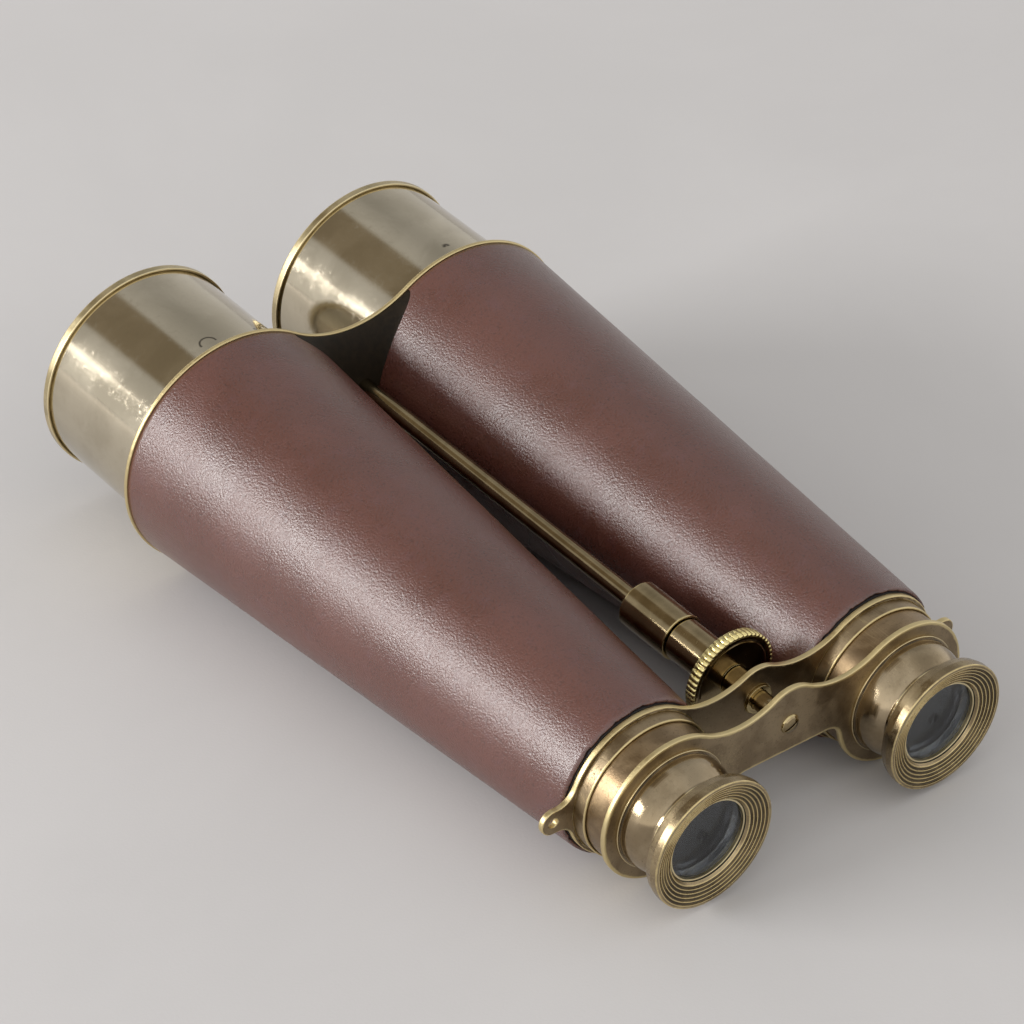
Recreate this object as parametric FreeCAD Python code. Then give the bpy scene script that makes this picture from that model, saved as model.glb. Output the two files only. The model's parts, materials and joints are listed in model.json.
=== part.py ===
"""Large fixed-bridge field glass with leather-covered barrels, a centre focus wheel and sliding sunshades.

Every piece is drawn in the optical frame: the two optical axes run along Y, the eyecup faces lie at Y = 0,
the objectives at large Y, and Z = 0 is the plane of both axes. At the end each piece is tipped by the angle
of the tapered barrels, so that the glass lies on the ground as it does on a table, and moved so that the
origin is at the middle of its footprint.
"""
import FreeCAD
import Part
import math
import os

# Driving dimensions, in millimetres
AXIS_HALF_SPACING = 31.0        # half the distance between the eyes
TOTAL_LENGTH = 198.3            # eyecup face to the front of the drawn-out sunshades

# Barrels and their leather
BARREL_START = 24.8             # small end of the barrels, at the inner bridge
BARREL_END = 160.8              # large end of the barrels, at the objective end plate
LEATHER_SMALL_R = 18.07
LEATHER_LARGE_R = 28.3
LEATHER_THICK = 0.8
LEATHER_TRIM = 0.2              # leather stops this far short of the metal at each end
BARREL_WALL = 0.6

# Objective end
END_PLATE_THICK = 1.0
END_PLATE_R = 28.6
SADDLE_Z = 19.2                 # lowest point of the dip between the two barrels
SADDLE_DEPTH = 6.2              # how far the filled saddle reaches back from the plate
SADDLE_FOOT_Z = 4.5             # half height of the saddle at its back
SADDLE_SKIN = 0.7
SADDLE_CLEARANCE = 0.2          # gap between the saddle and the leather on the barrels

# Sunshades
SHADE_R = 24.55
SHADE_WALL = 0.8
SHADE_INNER_END = 156.0
SLIDE_FIT = 0.05                # radial clearance of every sliding or turning fit
RIM_R = 25.26
RIM_LENGTH = 1.9
RIM_LIP = 0.8
RIM_LIP_R = 23.5
RIM_GROOVE = 0.35

# Objective cells inside the sunshades
CELL_R = 23.3
CELL_WALL = 0.8
CELL_START = 130.0
CELL_END = 160.4
SUPPORT_THICK = 2.0
LENS_GAP = 0.1                  # loose fit of a lens in its cell
LENS_R = 22.4
CROWN_THICK = 6.2
CROWN_SAG = 2.2
FLINT_EDGE = 5.0
FLINT_SAG = 1.0
LENS_FRONT = 156.6              # rim plane of the front lens
LENS_RING_LENGTH = 2.2
LENS_RING_CLEAR = 0.35          # keeps the ring off the bulge of the front lens
LENS_RING_WIDTH = 1.5
SEAT_LENGTH = 2.0
FELT_START = 156.4
FELT_LENGTH = 3.2
FELT_THICK = 0.4

# Light baffles in the barrels
BAFFLE_Y = 88.0
BAFFLE_THICK = 0.8
BAFFLE_HOLE_R = 14.0

# Bridges
BRIDGE_BOSS_Z = 7.6
INNER_BRIDGE_THICK = 1.3
INNER_BRIDGE_R = 17.15
INNER_BOSS_Z = 6.6
INNER_BOSS_R = 7.7
OUTER_BRIDGE_BACK = 14.95
OUTER_BRIDGE_THICK = 1.25
OUTER_BRIDGE_R = 16.65
OUTER_BOSS_R = 8.15
WAIST_FILLET_TOP = 17.5
WAIST_FILLET_BOTTOM = 4.0

# Strap lugs on the inner bridge
LUG_X = 21.3                    # from the optical axis to the hole
LUG_Z = -0.3
LUG_R = 2.9
LUG_FILLET = 4.5
LUG_HOLE_R = 1.0

# Draw tubes and the collars that guide them
DRAW_R = 15.6
DRAW_WALL = 0.7
DRAW_LENGTH = 23.0
COLLAR_R = 16.2
COLLAR_FACE = 20.4
COLLAR_BACK = 36.0

# Eyepieces
HOUSING_FLANGE_R = 13.7
HOUSING_FLANGE_THICK = 0.55
BULB_R = 13.1
NECK_R = 11.2
NECK_Y = 5.9
HOUSING_SPIGOT_R = 12.4
HOUSING_SPIGOT_END = 20.0
HOUSING_BORE_R = 10.4
EYECUP_R = 14.9
EYECUP_BACK_R = 14.4
EYECUP_BACK = 3.6
EYECUP_HOLE_R = 9.6
EYECUP_DISH = 1.2               # depth of the dished face at the lens
EYECUP_LIP = 0.9
EYECUP_GROOVES = 5
GROOVE_DEPTH = 0.4
EYECUP_SPIGOT_R = 10.3
EYECUP_SPIGOT_END = 8.2
EYE_LENS_R = 9.5
EYE_LENS_Y = 2.8
EYE_LENS_EDGE = 2.4
EYE_LENS_SAG = 0.7
EYE_RING_LENGTH = 0.9
EYE_RING_WIDTH = 0.45

# Focusing gear
FOCUS_Z = 6.6
SPINDLE_R = 2.2
SPINDLE_END = 54.5
SPINDLE_SHOULDER_R = 3.1
SPINDLE_SHOULDER_LENGTH = 1.0
SCREW_HEAD_R = 2.3
SCREW_HEAD_HEIGHT = 0.9
SCREW_SHANK_R = 1.2
SCREW_LENGTH = 6.0
SCREW_SLOT = 0.5
BUSH_R = 3.3
WHEEL_FRONT = 31.0
WHEEL_THICK = 2.5
WHEEL_R = 10.6
WHEEL_TEETH = 52
TOOTH_DEPTH = 0.45
WHEEL_BORE_R = 3.4
HUB_R = 4.75
HUB_END = 46.8
SLEEVE_R = 5.3
SLEEVE_START = 47.1
SLEEVE_END = 61.0
SLEEVE_BORE_R = 2.8
SLEEVE_CAP = 1.6
EDGE_CHAMFER = 0.25
ROD_R = 2.1
ROD_END = 158.5
BODY_GAP = 0.3                  # air between pieces that turn or slide past each other

# How the glass lies on the ground: on the end plate's edge and on the small ends of the leather
LEATHER_START = BARREL_START + LEATHER_TRIM
PLATE_FRONT = BARREL_END + END_PLATE_THICK
TILT = math.atan2(END_PLATE_R - LEATHER_SMALL_R, PLATE_FRONT - LEATHER_START)
LIFT = LEATHER_SMALL_R * math.cos(TILT) - LEATHER_START * math.sin(TILT)
Y_LOW = -EYECUP_R * math.sin(TILT)
Y_HIGH = TOTAL_LENGTH * math.cos(TILT) + RIM_R * math.sin(TILT)
Y_MIDDLE = (Y_LOW + Y_HIGH) / 2

V = FreeCAD.Vector
SIDES = {"left": -AXIS_HALF_SPACING, "right": AXIS_HALF_SPACING}
ALONG_Y = V(0, 1, 0)
parts = {}


def ring(inner, outer, start, end, x=0.0, z=0.0):
    """Straight tube, or a disc when inner is 0, around an axis along Y."""
    body = Part.makeCylinder(outer, end - start, V(x, start, z), ALONG_Y)
    if inner > 0:
        body = body.cut(Part.makeCylinder(inner, end - start, V(x, start, z), ALONG_Y))
    return body


def cone(r_start, r_end, start, end, x=0.0):
    return Part.makeCone(r_start, r_end, end - start, V(x, start, 0), ALONG_Y)


def arc(centre, radius, first, last):
    """Arc in the plane of X and Z, given by its centre and its first and last angles in degrees."""
    def at(angle):
        turn = math.radians(angle)
        return V(centre[0] + radius * math.cos(turn), 0, centre[1] + radius * math.sin(turn))
    return Part.Arc(at(first), at((first + last) / 2), at(last)).toShape()


def join(edges):
    """Closed face from edges that follow one another, with straight lines across any gaps."""
    chain = []
    count = len(edges)
    for index, edge in enumerate(edges):
        chain.append(edge)
        end = edge.lastVertex().Point
        start = edges[(index + 1) % count].firstVertex().Point
        if end.distanceToPoint(start) > 1e-6:
            chain.append(Part.LineSegment(end, start).toShape())
    return Part.Face(Part.Wire(chain))


def direction(start, end):
    return math.degrees(math.atan2(end[1] - start[1], end[0] - start[0]))


def fillet_centre(a, r_a, b, r_b, radius, side):
    """Centre of a circle that touches discs a and b from outside, on the left (1) or right (-1) of a to b."""
    gap = math.hypot(b[0] - a[0], b[1] - a[1])
    unit = ((b[0] - a[0]) / gap, (b[1] - a[1]) / gap)
    along = ((r_a + radius) ** 2 - (r_b + radius) ** 2 + gap ** 2) / (2 * gap)
    across = side * math.sqrt((r_a + radius) ** 2 - along ** 2)
    return (a[0] + unit[0] * along - unit[1] * across, a[1] + unit[1] * along + unit[0] * across)


def turned(angle, reference):
    """The same angle, brought to within half a turn of the reference."""
    return angle + 360 * round((reference - angle) / 360)


def hollow_arc(centre, radius, start, end):
    """Concave arc from the disc at start to the disc at end, both touching it from outside."""
    first = direction(centre, start)
    return arc(centre, radius, first, turned(direction(centre, end), first))


def bridge_half(ring_r, boss, boss_r, lug):
    """Right half of a bridge plate's outline, anticlockwise from the middle of its lower edge."""
    eye = (AXIS_HALF_SPACING, 0.0)
    floor_z = boss[1] - boss_r
    low_z = floor_z - WAIST_FILLET_BOTTOM
    reach = math.sqrt((ring_r + WAIST_FILLET_BOTTOM) ** 2 - low_z ** 2)
    low = (eye[0] - reach, low_z)
    top = fillet_centre(eye, ring_r, boss, boss_r, WAIST_FILLET_TOP, -1)
    ring_first = direction(eye, low) - 360
    ring_last = direction(eye, top)
    edges = [arc(low, WAIST_FILLET_BOTTOM, 90, direction(low, eye))]
    if lug:
        tab = (eye[0] + LUG_X, LUG_Z)
        under = fillet_centre(eye, ring_r, tab, LUG_R, LUG_FILLET, -1)
        over = fillet_centre(eye, ring_r, tab, LUG_R, LUG_FILLET, 1)
        edges.append(arc(eye, ring_r, turned(ring_first, -160), direction(eye, under)))
        edges.append(hollow_arc(under, LUG_FILLET, eye, tab))
        edges.append(arc(tab, LUG_R, direction(tab, under), direction(tab, over)))
        edges.append(hollow_arc(over, LUG_FILLET, tab, eye))
        edges.append(arc(eye, ring_r, direction(eye, over), ring_last))
    else:
        edges.append(arc(eye, ring_r, turned(ring_first, -160), ring_last))
    edges.append(hollow_arc(top, WAIST_FILLET_TOP, eye, boss))
    edges.append(arc(boss, boss_r, direction(boss, top), 90))
    return edges


def reversed_mirror(edges):
    """The left half of an outline whose right half is given, in the order that continues it."""
    answer = []
    for edge in reversed(edges):
        copy = edge.mirror(V(0, 0, 0), V(1, 0, 0))
        curve = copy.Curve
        ends = [copy.firstVertex().Point, copy.lastVertex().Point]
        middle = copy.valueAt((copy.FirstParameter + copy.LastParameter) / 2)
        start = edge.lastVertex().Point
        if abs(ends[0].x + start.x) > 1e-6 or abs(ends[0].z - start.z) > 1e-6:
            ends.reverse()
        if isinstance(curve, Part.Line):
            answer.append(Part.LineSegment(ends[0], ends[1]).toShape())
        else:
            answer.append(Part.Arc(ends[0], middle, ends[1]).toShape())
    return answer


def plate(face, start, thickness):
    """Solid plate from an outline in the plane of X and Z."""
    body = face.extrude(V(0, thickness, 0))
    body.translate(V(0, start, 0))
    return body


def turned_profile(outline, x=0.0, z=0.0):
    """Solid of revolution about an axis along Y. The outline is a list of (radius, y) points or arc middles."""
    edges = []
    start = outline[0]
    closing = [] if tuple(outline[-1][-2:]) == tuple(start) else [start]
    for step in outline[1:] + closing:
        if len(step) == 4:
            points = [V(start[0], start[1], 0), V(step[0], step[1], 0), V(step[2], step[3], 0)]
            edges.append(Part.Arc(*points).toShape())
            start = step[2:]
        else:
            edges.append(Part.LineSegment(V(start[0], start[1], 0), V(step[0], step[1], 0)).toShape())
            start = step
    solid = Part.Face(Part.Wire(edges)).revolve(V(0, 0, 0), ALONG_Y, 360)
    solid.translate(V(x, 0, z))
    return solid


def leather_r(y):
    """Outer radius of the leather at a distance along the barrel."""
    share = (y - LEATHER_START) / (BARREL_END - LEATHER_TRIM - LEATHER_START)
    return LEATHER_SMALL_R + (LEATHER_LARGE_R - LEATHER_SMALL_R) * share


def barrel_inner_r(y):
    return leather_r(y) - LEATHER_THICK - BARREL_WALL


def barrel_tube(x):
    outer_start = leather_r(BARREL_START) - LEATHER_THICK
    outer_end = leather_r(BARREL_END) - LEATHER_THICK
    shell = cone(outer_start, outer_end, BARREL_START, BARREL_END, x)
    core = cone(outer_start - BARREL_WALL, outer_end - BARREL_WALL, BARREL_START, BARREL_END, x)
    return shell.cut(core)


def leather_cover(x):
    start = LEATHER_START
    end = BARREL_END - LEATHER_TRIM
    shell = cone(leather_r(start), leather_r(end), start, end, x)
    core = cone(leather_r(start) - LEATHER_THICK, leather_r(end) - LEATHER_THICK, start, end, x)
    return shell.cut(core)


def saddle_radius():
    """Radius of the dip that touches both end plate circles and passes through its lowest point."""
    rise = END_PLATE_R ** 2 - AXIS_HALF_SPACING ** 2 - SADDLE_Z ** 2
    return rise / (2 * (SADDLE_Z - END_PLATE_R))


def end_plate(shade_hole_r):
    radius = saddle_radius()
    dip = (0.0, SADDLE_Z + radius)
    eye = (AXIS_HALF_SPACING, 0.0)
    angle = direction(eye, dip)
    right = arc(eye, END_PLATE_R, -angle, angle)
    left_eye = (-AXIS_HALF_SPACING, 0.0)
    left = arc(left_eye, END_PLATE_R, 180 - angle, 180 + angle)
    over = hollow_arc(dip, radius, eye, left_eye)
    under = hollow_arc((0.0, -dip[1]), radius, left_eye, eye)
    body = plate(join([right, over, left, under]), BARREL_END, END_PLATE_THICK)
    for x in SIDES.values():
        body = body.cut(ring(0, shade_hole_r, BARREL_END, PLATE_FRONT, x))
    return body


def saddle(inset):
    """Filling between the barrels behind the end plate, hollowed above and below, set in by the inset."""
    radius = saddle_radius() + inset
    dip_z = SADDLE_Z + saddle_radius()
    spread = math.degrees(math.asin(AXIS_HALF_SPACING / (saddle_radius() + END_PLATE_R)))
    over = arc((0.0, dip_z), radius, 270 + spread, 270 - spread)
    under = arc((0.0, -dip_z), radius, 90 + spread, 90 - spread)
    column = plate(join([over, under]), BARREL_END - SADDLE_DEPTH, SADDLE_DEPTH)
    back = BARREL_END - SADDLE_DEPTH + inset
    foot = SADDLE_FOOT_Z - inset
    crown = SADDLE_Z - inset
    bow_y = back + SADDLE_DEPTH * 0.28
    bow_z = foot + (crown - foot) * 0.5
    side = [
        Part.LineSegment(V(0, back, -foot), V(0, back, foot)).toShape(),
        Part.Arc(V(0, back, foot), V(0, bow_y, bow_z), V(0, BARREL_END, leather_r(BARREL_END))).toShape(),
        Part.LineSegment(V(0, BARREL_END, leather_r(BARREL_END)),
                         V(0, BARREL_END, -leather_r(BARREL_END))).toShape(),
        Part.Arc(V(0, BARREL_END, -leather_r(BARREL_END)), V(0, bow_y, -bow_z), V(0, back, -foot)).toShape(),
    ]
    side_face = Part.Face(Part.Wire(side))
    side_face.translate(V(-AXIS_HALF_SPACING, 0, 0))
    body = column.common(side_face.extrude(V(2 * AXIS_HALF_SPACING, 0, 0)))
    for x in SIDES.values():
        start = BARREL_END - 2 * SADDLE_DEPTH
        clear = SADDLE_CLEARANCE + inset
        room = cone(leather_r(start) + clear, leather_r(BARREL_END) + clear, start, BARREL_END, x)
        body = body.cut(room)
    return body


def inner_bridge():
    half = bridge_half(INNER_BRIDGE_R, (0.0, INNER_BOSS_Z), INNER_BOSS_R, True)
    body = plate(join(half + reversed_mirror(half)), BARREL_START - INNER_BRIDGE_THICK, INNER_BRIDGE_THICK)
    start = BARREL_START - INNER_BRIDGE_THICK
    for name, x in SIDES.items():
        body = body.cut(ring(0, COLLAR_R, start, BARREL_START, x))
        hole_x = x + math.copysign(LUG_X, x)
        body = body.cut(ring(0, LUG_HOLE_R, start, BARREL_START, hole_x, LUG_Z))
    return body.cut(ring(0, BUSH_R, start, BARREL_START, 0, FOCUS_Z))


def outer_bridge():
    half = bridge_half(OUTER_BRIDGE_R, (0.0, BRIDGE_BOSS_Z), OUTER_BOSS_R, False)
    start = OUTER_BRIDGE_BACK - OUTER_BRIDGE_THICK
    body = plate(join(half + reversed_mirror(half)), start, OUTER_BRIDGE_THICK)
    for x in SIDES.values():
        body = body.cut(ring(0, HOUSING_SPIGOT_R, start, OUTER_BRIDGE_BACK, x))
    return body.cut(ring(0, SCREW_SHANK_R, start, OUTER_BRIDGE_BACK, 0, FOCUS_Z))


def draw_collar(x):
    """Guide sleeve soldered into the inner bridge, with a rolled lip at its mouth."""
    lip = COLLAR_R - DRAW_R - SLIDE_FIT
    return turned_profile([
        (DRAW_R + SLIDE_FIT, COLLAR_FACE + lip / 2),
        (DRAW_R + SLIDE_FIT + lip / 2, COLLAR_FACE, COLLAR_R, COLLAR_FACE + lip / 2),
        (COLLAR_R, COLLAR_BACK),
        (DRAW_R + SLIDE_FIT, COLLAR_BACK)], x)


def draw_tube(x):
    return ring(DRAW_R - DRAW_WALL, DRAW_R, OUTER_BRIDGE_BACK, OUTER_BRIDGE_BACK + DRAW_LENGTH, x)


def eyepiece_housing(x):
    """Bulb that holds the eye lens, with a flange on the outer bridge and a spigot through it."""
    seat = OUTER_BRIDGE_BACK - OUTER_BRIDGE_THICK
    flange = seat - HOUSING_FLANGE_THICK
    return turned_profile([
        (HOUSING_BORE_R, NECK_Y),
        (NECK_R, NECK_Y),
        (NECK_R, NECK_Y + 0.6),
        (BULB_R - 0.25, (NECK_Y + flange) / 2 + 0.3, BULB_R, flange),
        (HOUSING_FLANGE_R, flange),
        (HOUSING_FLANGE_R, seat),
        (HOUSING_SPIGOT_R, seat),
        (HOUSING_SPIGOT_R, HOUSING_SPIGOT_END),
        (HOUSING_BORE_R, HOUSING_SPIGOT_END)], x)


def dish_outline():
    """Dished face from the hole out to the lip, with a round groove between each pair of ridges."""
    first = EYECUP_HOLE_R + 0.5
    last = EYECUP_R - EYECUP_LIP
    pitch = (last - first) / EYECUP_GROOVES
    fall = EYECUP_DISH / (last - first)
    outline = [(first, EYECUP_DISH)]
    for groove in range(EYECUP_GROOVES):
        near = first + pitch * (groove + 0.2)
        far = first + pitch * (groove + 1)
        near_y = EYECUP_DISH - fall * (near - first)
        far_y = EYECUP_DISH - fall * (far - first)
        outline.append((near, near_y))
        outline.append(((near + far) / 2, (near_y + far_y) / 2 + GROOVE_DEPTH, far, far_y))
    return outline


def eyecup(x):
    """Flared disc for the eye with a dished, ringed face and a threaded spigot into the bulb."""
    half_band = EYECUP_BACK / 2
    return turned_profile([(EYECUP_HOLE_R, EYECUP_DISH + 0.5)] + dish_outline() + [
        (EYECUP_R - 0.35, 0.0),
        (EYECUP_R - 0.1, 0.1, EYECUP_R, 0.35),
        (EYECUP_R, half_band),
        (EYECUP_BACK_R, EYECUP_BACK),
        (NECK_R, NECK_Y),
        (EYECUP_SPIGOT_R, NECK_Y),
        (EYECUP_SPIGOT_R, EYECUP_SPIGOT_END),
        (EYECUP_HOLE_R, EYECUP_SPIGOT_END)], x)


def ball(rim_y, bulge, x, extra=0.0):
    """Sphere that passes through the lens rim at rim_y and stands out from it by the bulge along Y."""
    sag = abs(bulge)
    radius = (LENS_R ** 2 + sag ** 2) / (2 * sag)
    centre = rim_y + bulge - math.copysign(radius, bulge)
    return Part.makeSphere(radius + extra, V(x, centre, 0), ALONG_Y)


def eye_lens(x):
    """Hollow-ground lens: the magnifying half of this simple kind of glass."""
    back = EYE_LENS_Y + EYE_LENS_EDGE
    radius = (EYE_LENS_R ** 2 + EYE_LENS_SAG ** 2) / (2 * EYE_LENS_SAG)
    body = ring(0, EYE_LENS_R, EYE_LENS_Y, back, x)
    body = body.cut(Part.makeSphere(radius, V(x, EYE_LENS_Y + EYE_LENS_SAG - radius, 0), ALONG_Y))
    return body.cut(Part.makeSphere(radius, V(x, back - EYE_LENS_SAG + radius, 0), ALONG_Y))


def eye_ring(x):
    return ring(EYECUP_HOLE_R - EYE_RING_WIDTH, EYECUP_HOLE_R - SLIDE_FIT,
                EYE_LENS_Y - EYE_RING_LENGTH, EYE_LENS_Y, x)


def objective_cell(x):
    """Fixed tube that carries the big lenses, with a seat behind them."""
    inner = CELL_R - CELL_WALL
    seat = LENS_FRONT - CROWN_THICK - FLINT_EDGE
    tube = ring(inner, CELL_R, CELL_START, CELL_END, x)
    return tube.fuse(ring(inner - 2 * CELL_WALL, inner, seat - SEAT_LENGTH, seat, x)).removeSplitter()


def support_ring(x):
    """Tapered ring that ties the objective cell to the inside of its barrel."""
    end = CELL_START + SUPPORT_THICK
    outside = cone(barrel_inner_r(CELL_START) - SLIDE_FIT, barrel_inner_r(end) - SLIDE_FIT, CELL_START, end, x)
    return outside.cut(ring(0, CELL_R, CELL_START, end, x))


def crown_lens(x):
    """Bulging front lens."""
    back = LENS_FRONT - CROWN_THICK
    body = ring(0, LENS_R, back - CROWN_SAG, LENS_FRONT + CROWN_SAG, x)
    return body.common(ball(LENS_FRONT, CROWN_SAG, x)).common(ball(back, -CROWN_SAG, x))


def flint_lens(x):
    """Hollow lens behind the crown lens, resting on the seat."""
    front = LENS_FRONT - CROWN_THICK
    back = front - FLINT_EDGE
    body = ring(0, LENS_R, back, front - LENS_GAP, x).cut(ball(front, -CROWN_SAG, x, LENS_GAP))
    return body.cut(ball(back, FLINT_SAG, x))


def lens_ring(x):
    inner = CELL_R - CELL_WALL
    start = LENS_FRONT + LENS_RING_CLEAR
    return ring(inner - LENS_RING_WIDTH, inner - LENS_GAP, start, start + LENS_RING_LENGTH, x)


def baffle(x):
    end = BAFFLE_Y + BAFFLE_THICK
    disc = cone(barrel_inner_r(BAFFLE_Y) - SLIDE_FIT, barrel_inner_r(end) - SLIDE_FIT, BAFFLE_Y, end, x)
    return disc.cut(ring(0, BAFFLE_HOLE_R, BAFFLE_Y, end, x))


def shade_felt(x):
    """Felt strip on the cell that keeps the sunshade where it is put."""
    return ring(CELL_R, CELL_R + FELT_THICK, FELT_START, FELT_START + FELT_LENGTH, x)


def shade_tube(x):
    return ring(SHADE_R - SHADE_WALL, SHADE_R, SHADE_INNER_END, TOTAL_LENGTH - RIM_LIP, x)


def shade_rim(x):
    """Turned ring around the mouth of the sunshade, with a lip over its edge."""
    start = TOTAL_LENGTH - RIM_LENGTH
    lip = TOTAL_LENGTH - RIM_LIP
    return turned_profile([
        (SHADE_R, start + RIM_GROOVE),
        (SHADE_R + RIM_GROOVE, start),
        (RIM_R - 0.15, start),
        (RIM_R, start + 0.15),
        (RIM_R, TOTAL_LENGTH - 0.3),
        (RIM_R - 0.3, TOTAL_LENGTH),
        (RIM_LIP_R, TOTAL_LENGTH),
        (RIM_LIP_R, lip),
        (SHADE_R, lip)], x)


def spindle():
    """Threaded spindle that the wheel pulls, with a shoulder against the outer bridge."""
    start = OUTER_BRIDGE_BACK
    rod = ring(0, SPINDLE_R, start, SPINDLE_END, 0, FOCUS_Z)
    shoulder = ring(0, SPINDLE_SHOULDER_R, start, start + SPINDLE_SHOULDER_LENGTH, 0, FOCUS_Z)
    hole = ring(0, SCREW_SHANK_R, start, start + SCREW_LENGTH, 0, FOCUS_Z)
    return rod.fuse(shoulder).cut(hole).removeSplitter()


def spindle_screw():
    face = OUTER_BRIDGE_BACK - OUTER_BRIDGE_THICK
    top = face - SCREW_HEAD_HEIGHT
    screw = turned_profile([
        (0.0, top),
        (SCREW_HEAD_R - 0.5, top + 0.1),
        (SCREW_HEAD_R - 0.1, top + 0.3, SCREW_HEAD_R, face),
        (SCREW_SHANK_R, face),
        (SCREW_SHANK_R, OUTER_BRIDGE_BACK + SCREW_LENGTH - BODY_GAP),
        (0.0, OUTER_BRIDGE_BACK + SCREW_LENGTH - BODY_GAP)], 0, FOCUS_Z)
    slot = Part.makeBox(2 * SCREW_HEAD_R, SCREW_SLOT, SCREW_SLOT)
    slot.translate(V(-SCREW_HEAD_R, top, FOCUS_Z - SCREW_SLOT / 2))
    return screw.cut(slot)


def spindle_bush():
    """Bush in the inner bridge that the spindle slides through and the wheel runs against."""
    start = BARREL_START - INNER_BRIDGE_THICK - 0.6
    return ring(SPINDLE_R + SLIDE_FIT, BUSH_R, start, WHEEL_FRONT - BODY_GAP, 0, FOCUS_Z)


def focus_wheel():
    """Disc with coarse straight knurling, pressed on its hub."""
    edges = []
    step = 2 * math.pi / WHEEL_TEETH
    for tooth in range(WHEEL_TEETH):
        points = []
        for share, radius in ((0.0, WHEEL_R), (0.55, WHEEL_R), (0.775, WHEEL_R - TOOTH_DEPTH), (1.0, WHEEL_R)):
            angle = (tooth + share) * step
            points.append(V(radius * math.cos(angle), 0, FOCUS_Z + radius * math.sin(angle)))
        for first, second in zip(points, points[1:]):
            edges.append(Part.LineSegment(first, second).toShape())
    disc = plate(Part.Face(Part.Wire(edges)), WHEEL_FRONT, WHEEL_THICK)
    return disc.cut(ring(0, WHEEL_BORE_R, WHEEL_FRONT, WHEEL_FRONT + WHEEL_THICK, 0, FOCUS_Z))


def wheel_hub():
    """Long nut of the focus wheel, running on the spindle's thread."""
    back = WHEEL_FRONT + WHEEL_THICK
    return turned_profile([
        (SPINDLE_R + SLIDE_FIT, WHEEL_FRONT),
        (WHEEL_BORE_R, WHEEL_FRONT),
        (WHEEL_BORE_R, back),
        (HUB_R, back),
        (HUB_R, HUB_END - EDGE_CHAMFER),
        (HUB_R - EDGE_CHAMFER, HUB_END),
        (SPINDLE_R + SLIDE_FIT, HUB_END)], 0, FOCUS_Z)


def rod_sleeve():
    """Collar at the near end of the fixed rod. The spindle's end moves inside it."""
    return turned_profile([
        (SLEEVE_BORE_R, SLEEVE_START),
        (SLEEVE_R - EDGE_CHAMFER, SLEEVE_START),
        (SLEEVE_R, SLEEVE_START + EDGE_CHAMFER),
        (SLEEVE_R, SLEEVE_END - EDGE_CHAMFER),
        (SLEEVE_R - EDGE_CHAMFER, SLEEVE_END),
        (ROD_R, SLEEVE_END),
        (ROD_R, SLEEVE_END - SLEEVE_CAP),
        (SLEEVE_BORE_R, SLEEVE_END - SLEEVE_CAP)], 0, FOCUS_Z)


def focus_rod():
    return ring(0, ROD_R, SLEEVE_END - SLEEVE_CAP, ROD_END, 0, FOCUS_Z)


def cut_for_rod(body):
    return body.cut(ring(0, ROD_R, BARREL_END - 2 * SADDLE_DEPTH, ROD_END, 0, FOCUS_Z))


PAIRS = {
    "barrel_tube": barrel_tube,
    "leather_cover": leather_cover,
    "draw_collar": draw_collar,
    "objective_cell": objective_cell,
    "cell_support_ring": support_ring,
    "crown_lens": crown_lens,
    "flint_lens": flint_lens,
    "objective_lens_ring": lens_ring,
    "shade_felt": shade_felt,
    "light_baffle": baffle,
    "draw_tube": draw_tube,
    "eyepiece_housing": eyepiece_housing,
    "eyecup": eyecup,
    "eye_lens": eye_lens,
    "eye_lens_ring": eye_ring,
    "shade_tube": shade_tube,
    "shade_rim": shade_rim,
}
for side, x in SIDES.items():
    for name, make in PAIRS.items():
        parts[side + "_" + name] = make(x)

saddle_core = saddle(SADDLE_SKIN)
parts["saddle_block"] = cut_for_rod(saddle_core)
parts["saddle_leather"] = cut_for_rod(saddle(0.0).cut(saddle_core))
parts["objective_end_plate"] = end_plate(SHADE_R + SLIDE_FIT)
parts["inner_bridge_plate"] = inner_bridge()
parts["outer_bridge_plate"] = outer_bridge()
parts["focus_spindle"] = spindle()
parts["spindle_screw"] = spindle_screw()
parts["spindle_bush"] = spindle_bush()
parts["focus_wheel"] = focus_wheel()
parts["wheel_hub"] = wheel_hub()
parts["rod_sleeve"] = rod_sleeve()
parts["focus_rod"] = focus_rod()

os.makedirs("parts", exist_ok=True)
for name, shape in sorted(parts.items()):
    shape.rotate(V(0, 0, 0), V(1, 0, 0), math.degrees(TILT))
    shape.translate(V(0, -Y_MIDDLE, LIFT))
    shape.exportStep("parts/" + name + ".step")
    box = shape.BoundBox
    print("%-28s solids %d valid %s volume %9.1f x %7.2f %7.2f y %7.2f %7.2f z %6.2f %6.2f" % (
        name, len(shape.Solids), shape.isValid(), shape.Volume, box.XMin, box.XMax,
        box.YMin, box.YMax, box.ZMin, box.ZMax))
print("tilt %.4f degrees, lift %.4f, middle %.4f" % (math.degrees(TILT), LIFT, Y_MIDDLE))
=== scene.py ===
# %% [markdown]
# A large field glass, dressed for its portrait. The metal and glass were already drawn as solid
# parts with real sizes; this notebook loads them, rebuilds the visible ones with softened edges
# and small irregularities, gives every surface a finish, and sets up the table, light and camera.

import cmath
import json
import math

import bmesh
import bpy
import numpy as np
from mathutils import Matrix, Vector, noise
from mathutils.geometry import tessellate_polygon


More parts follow.
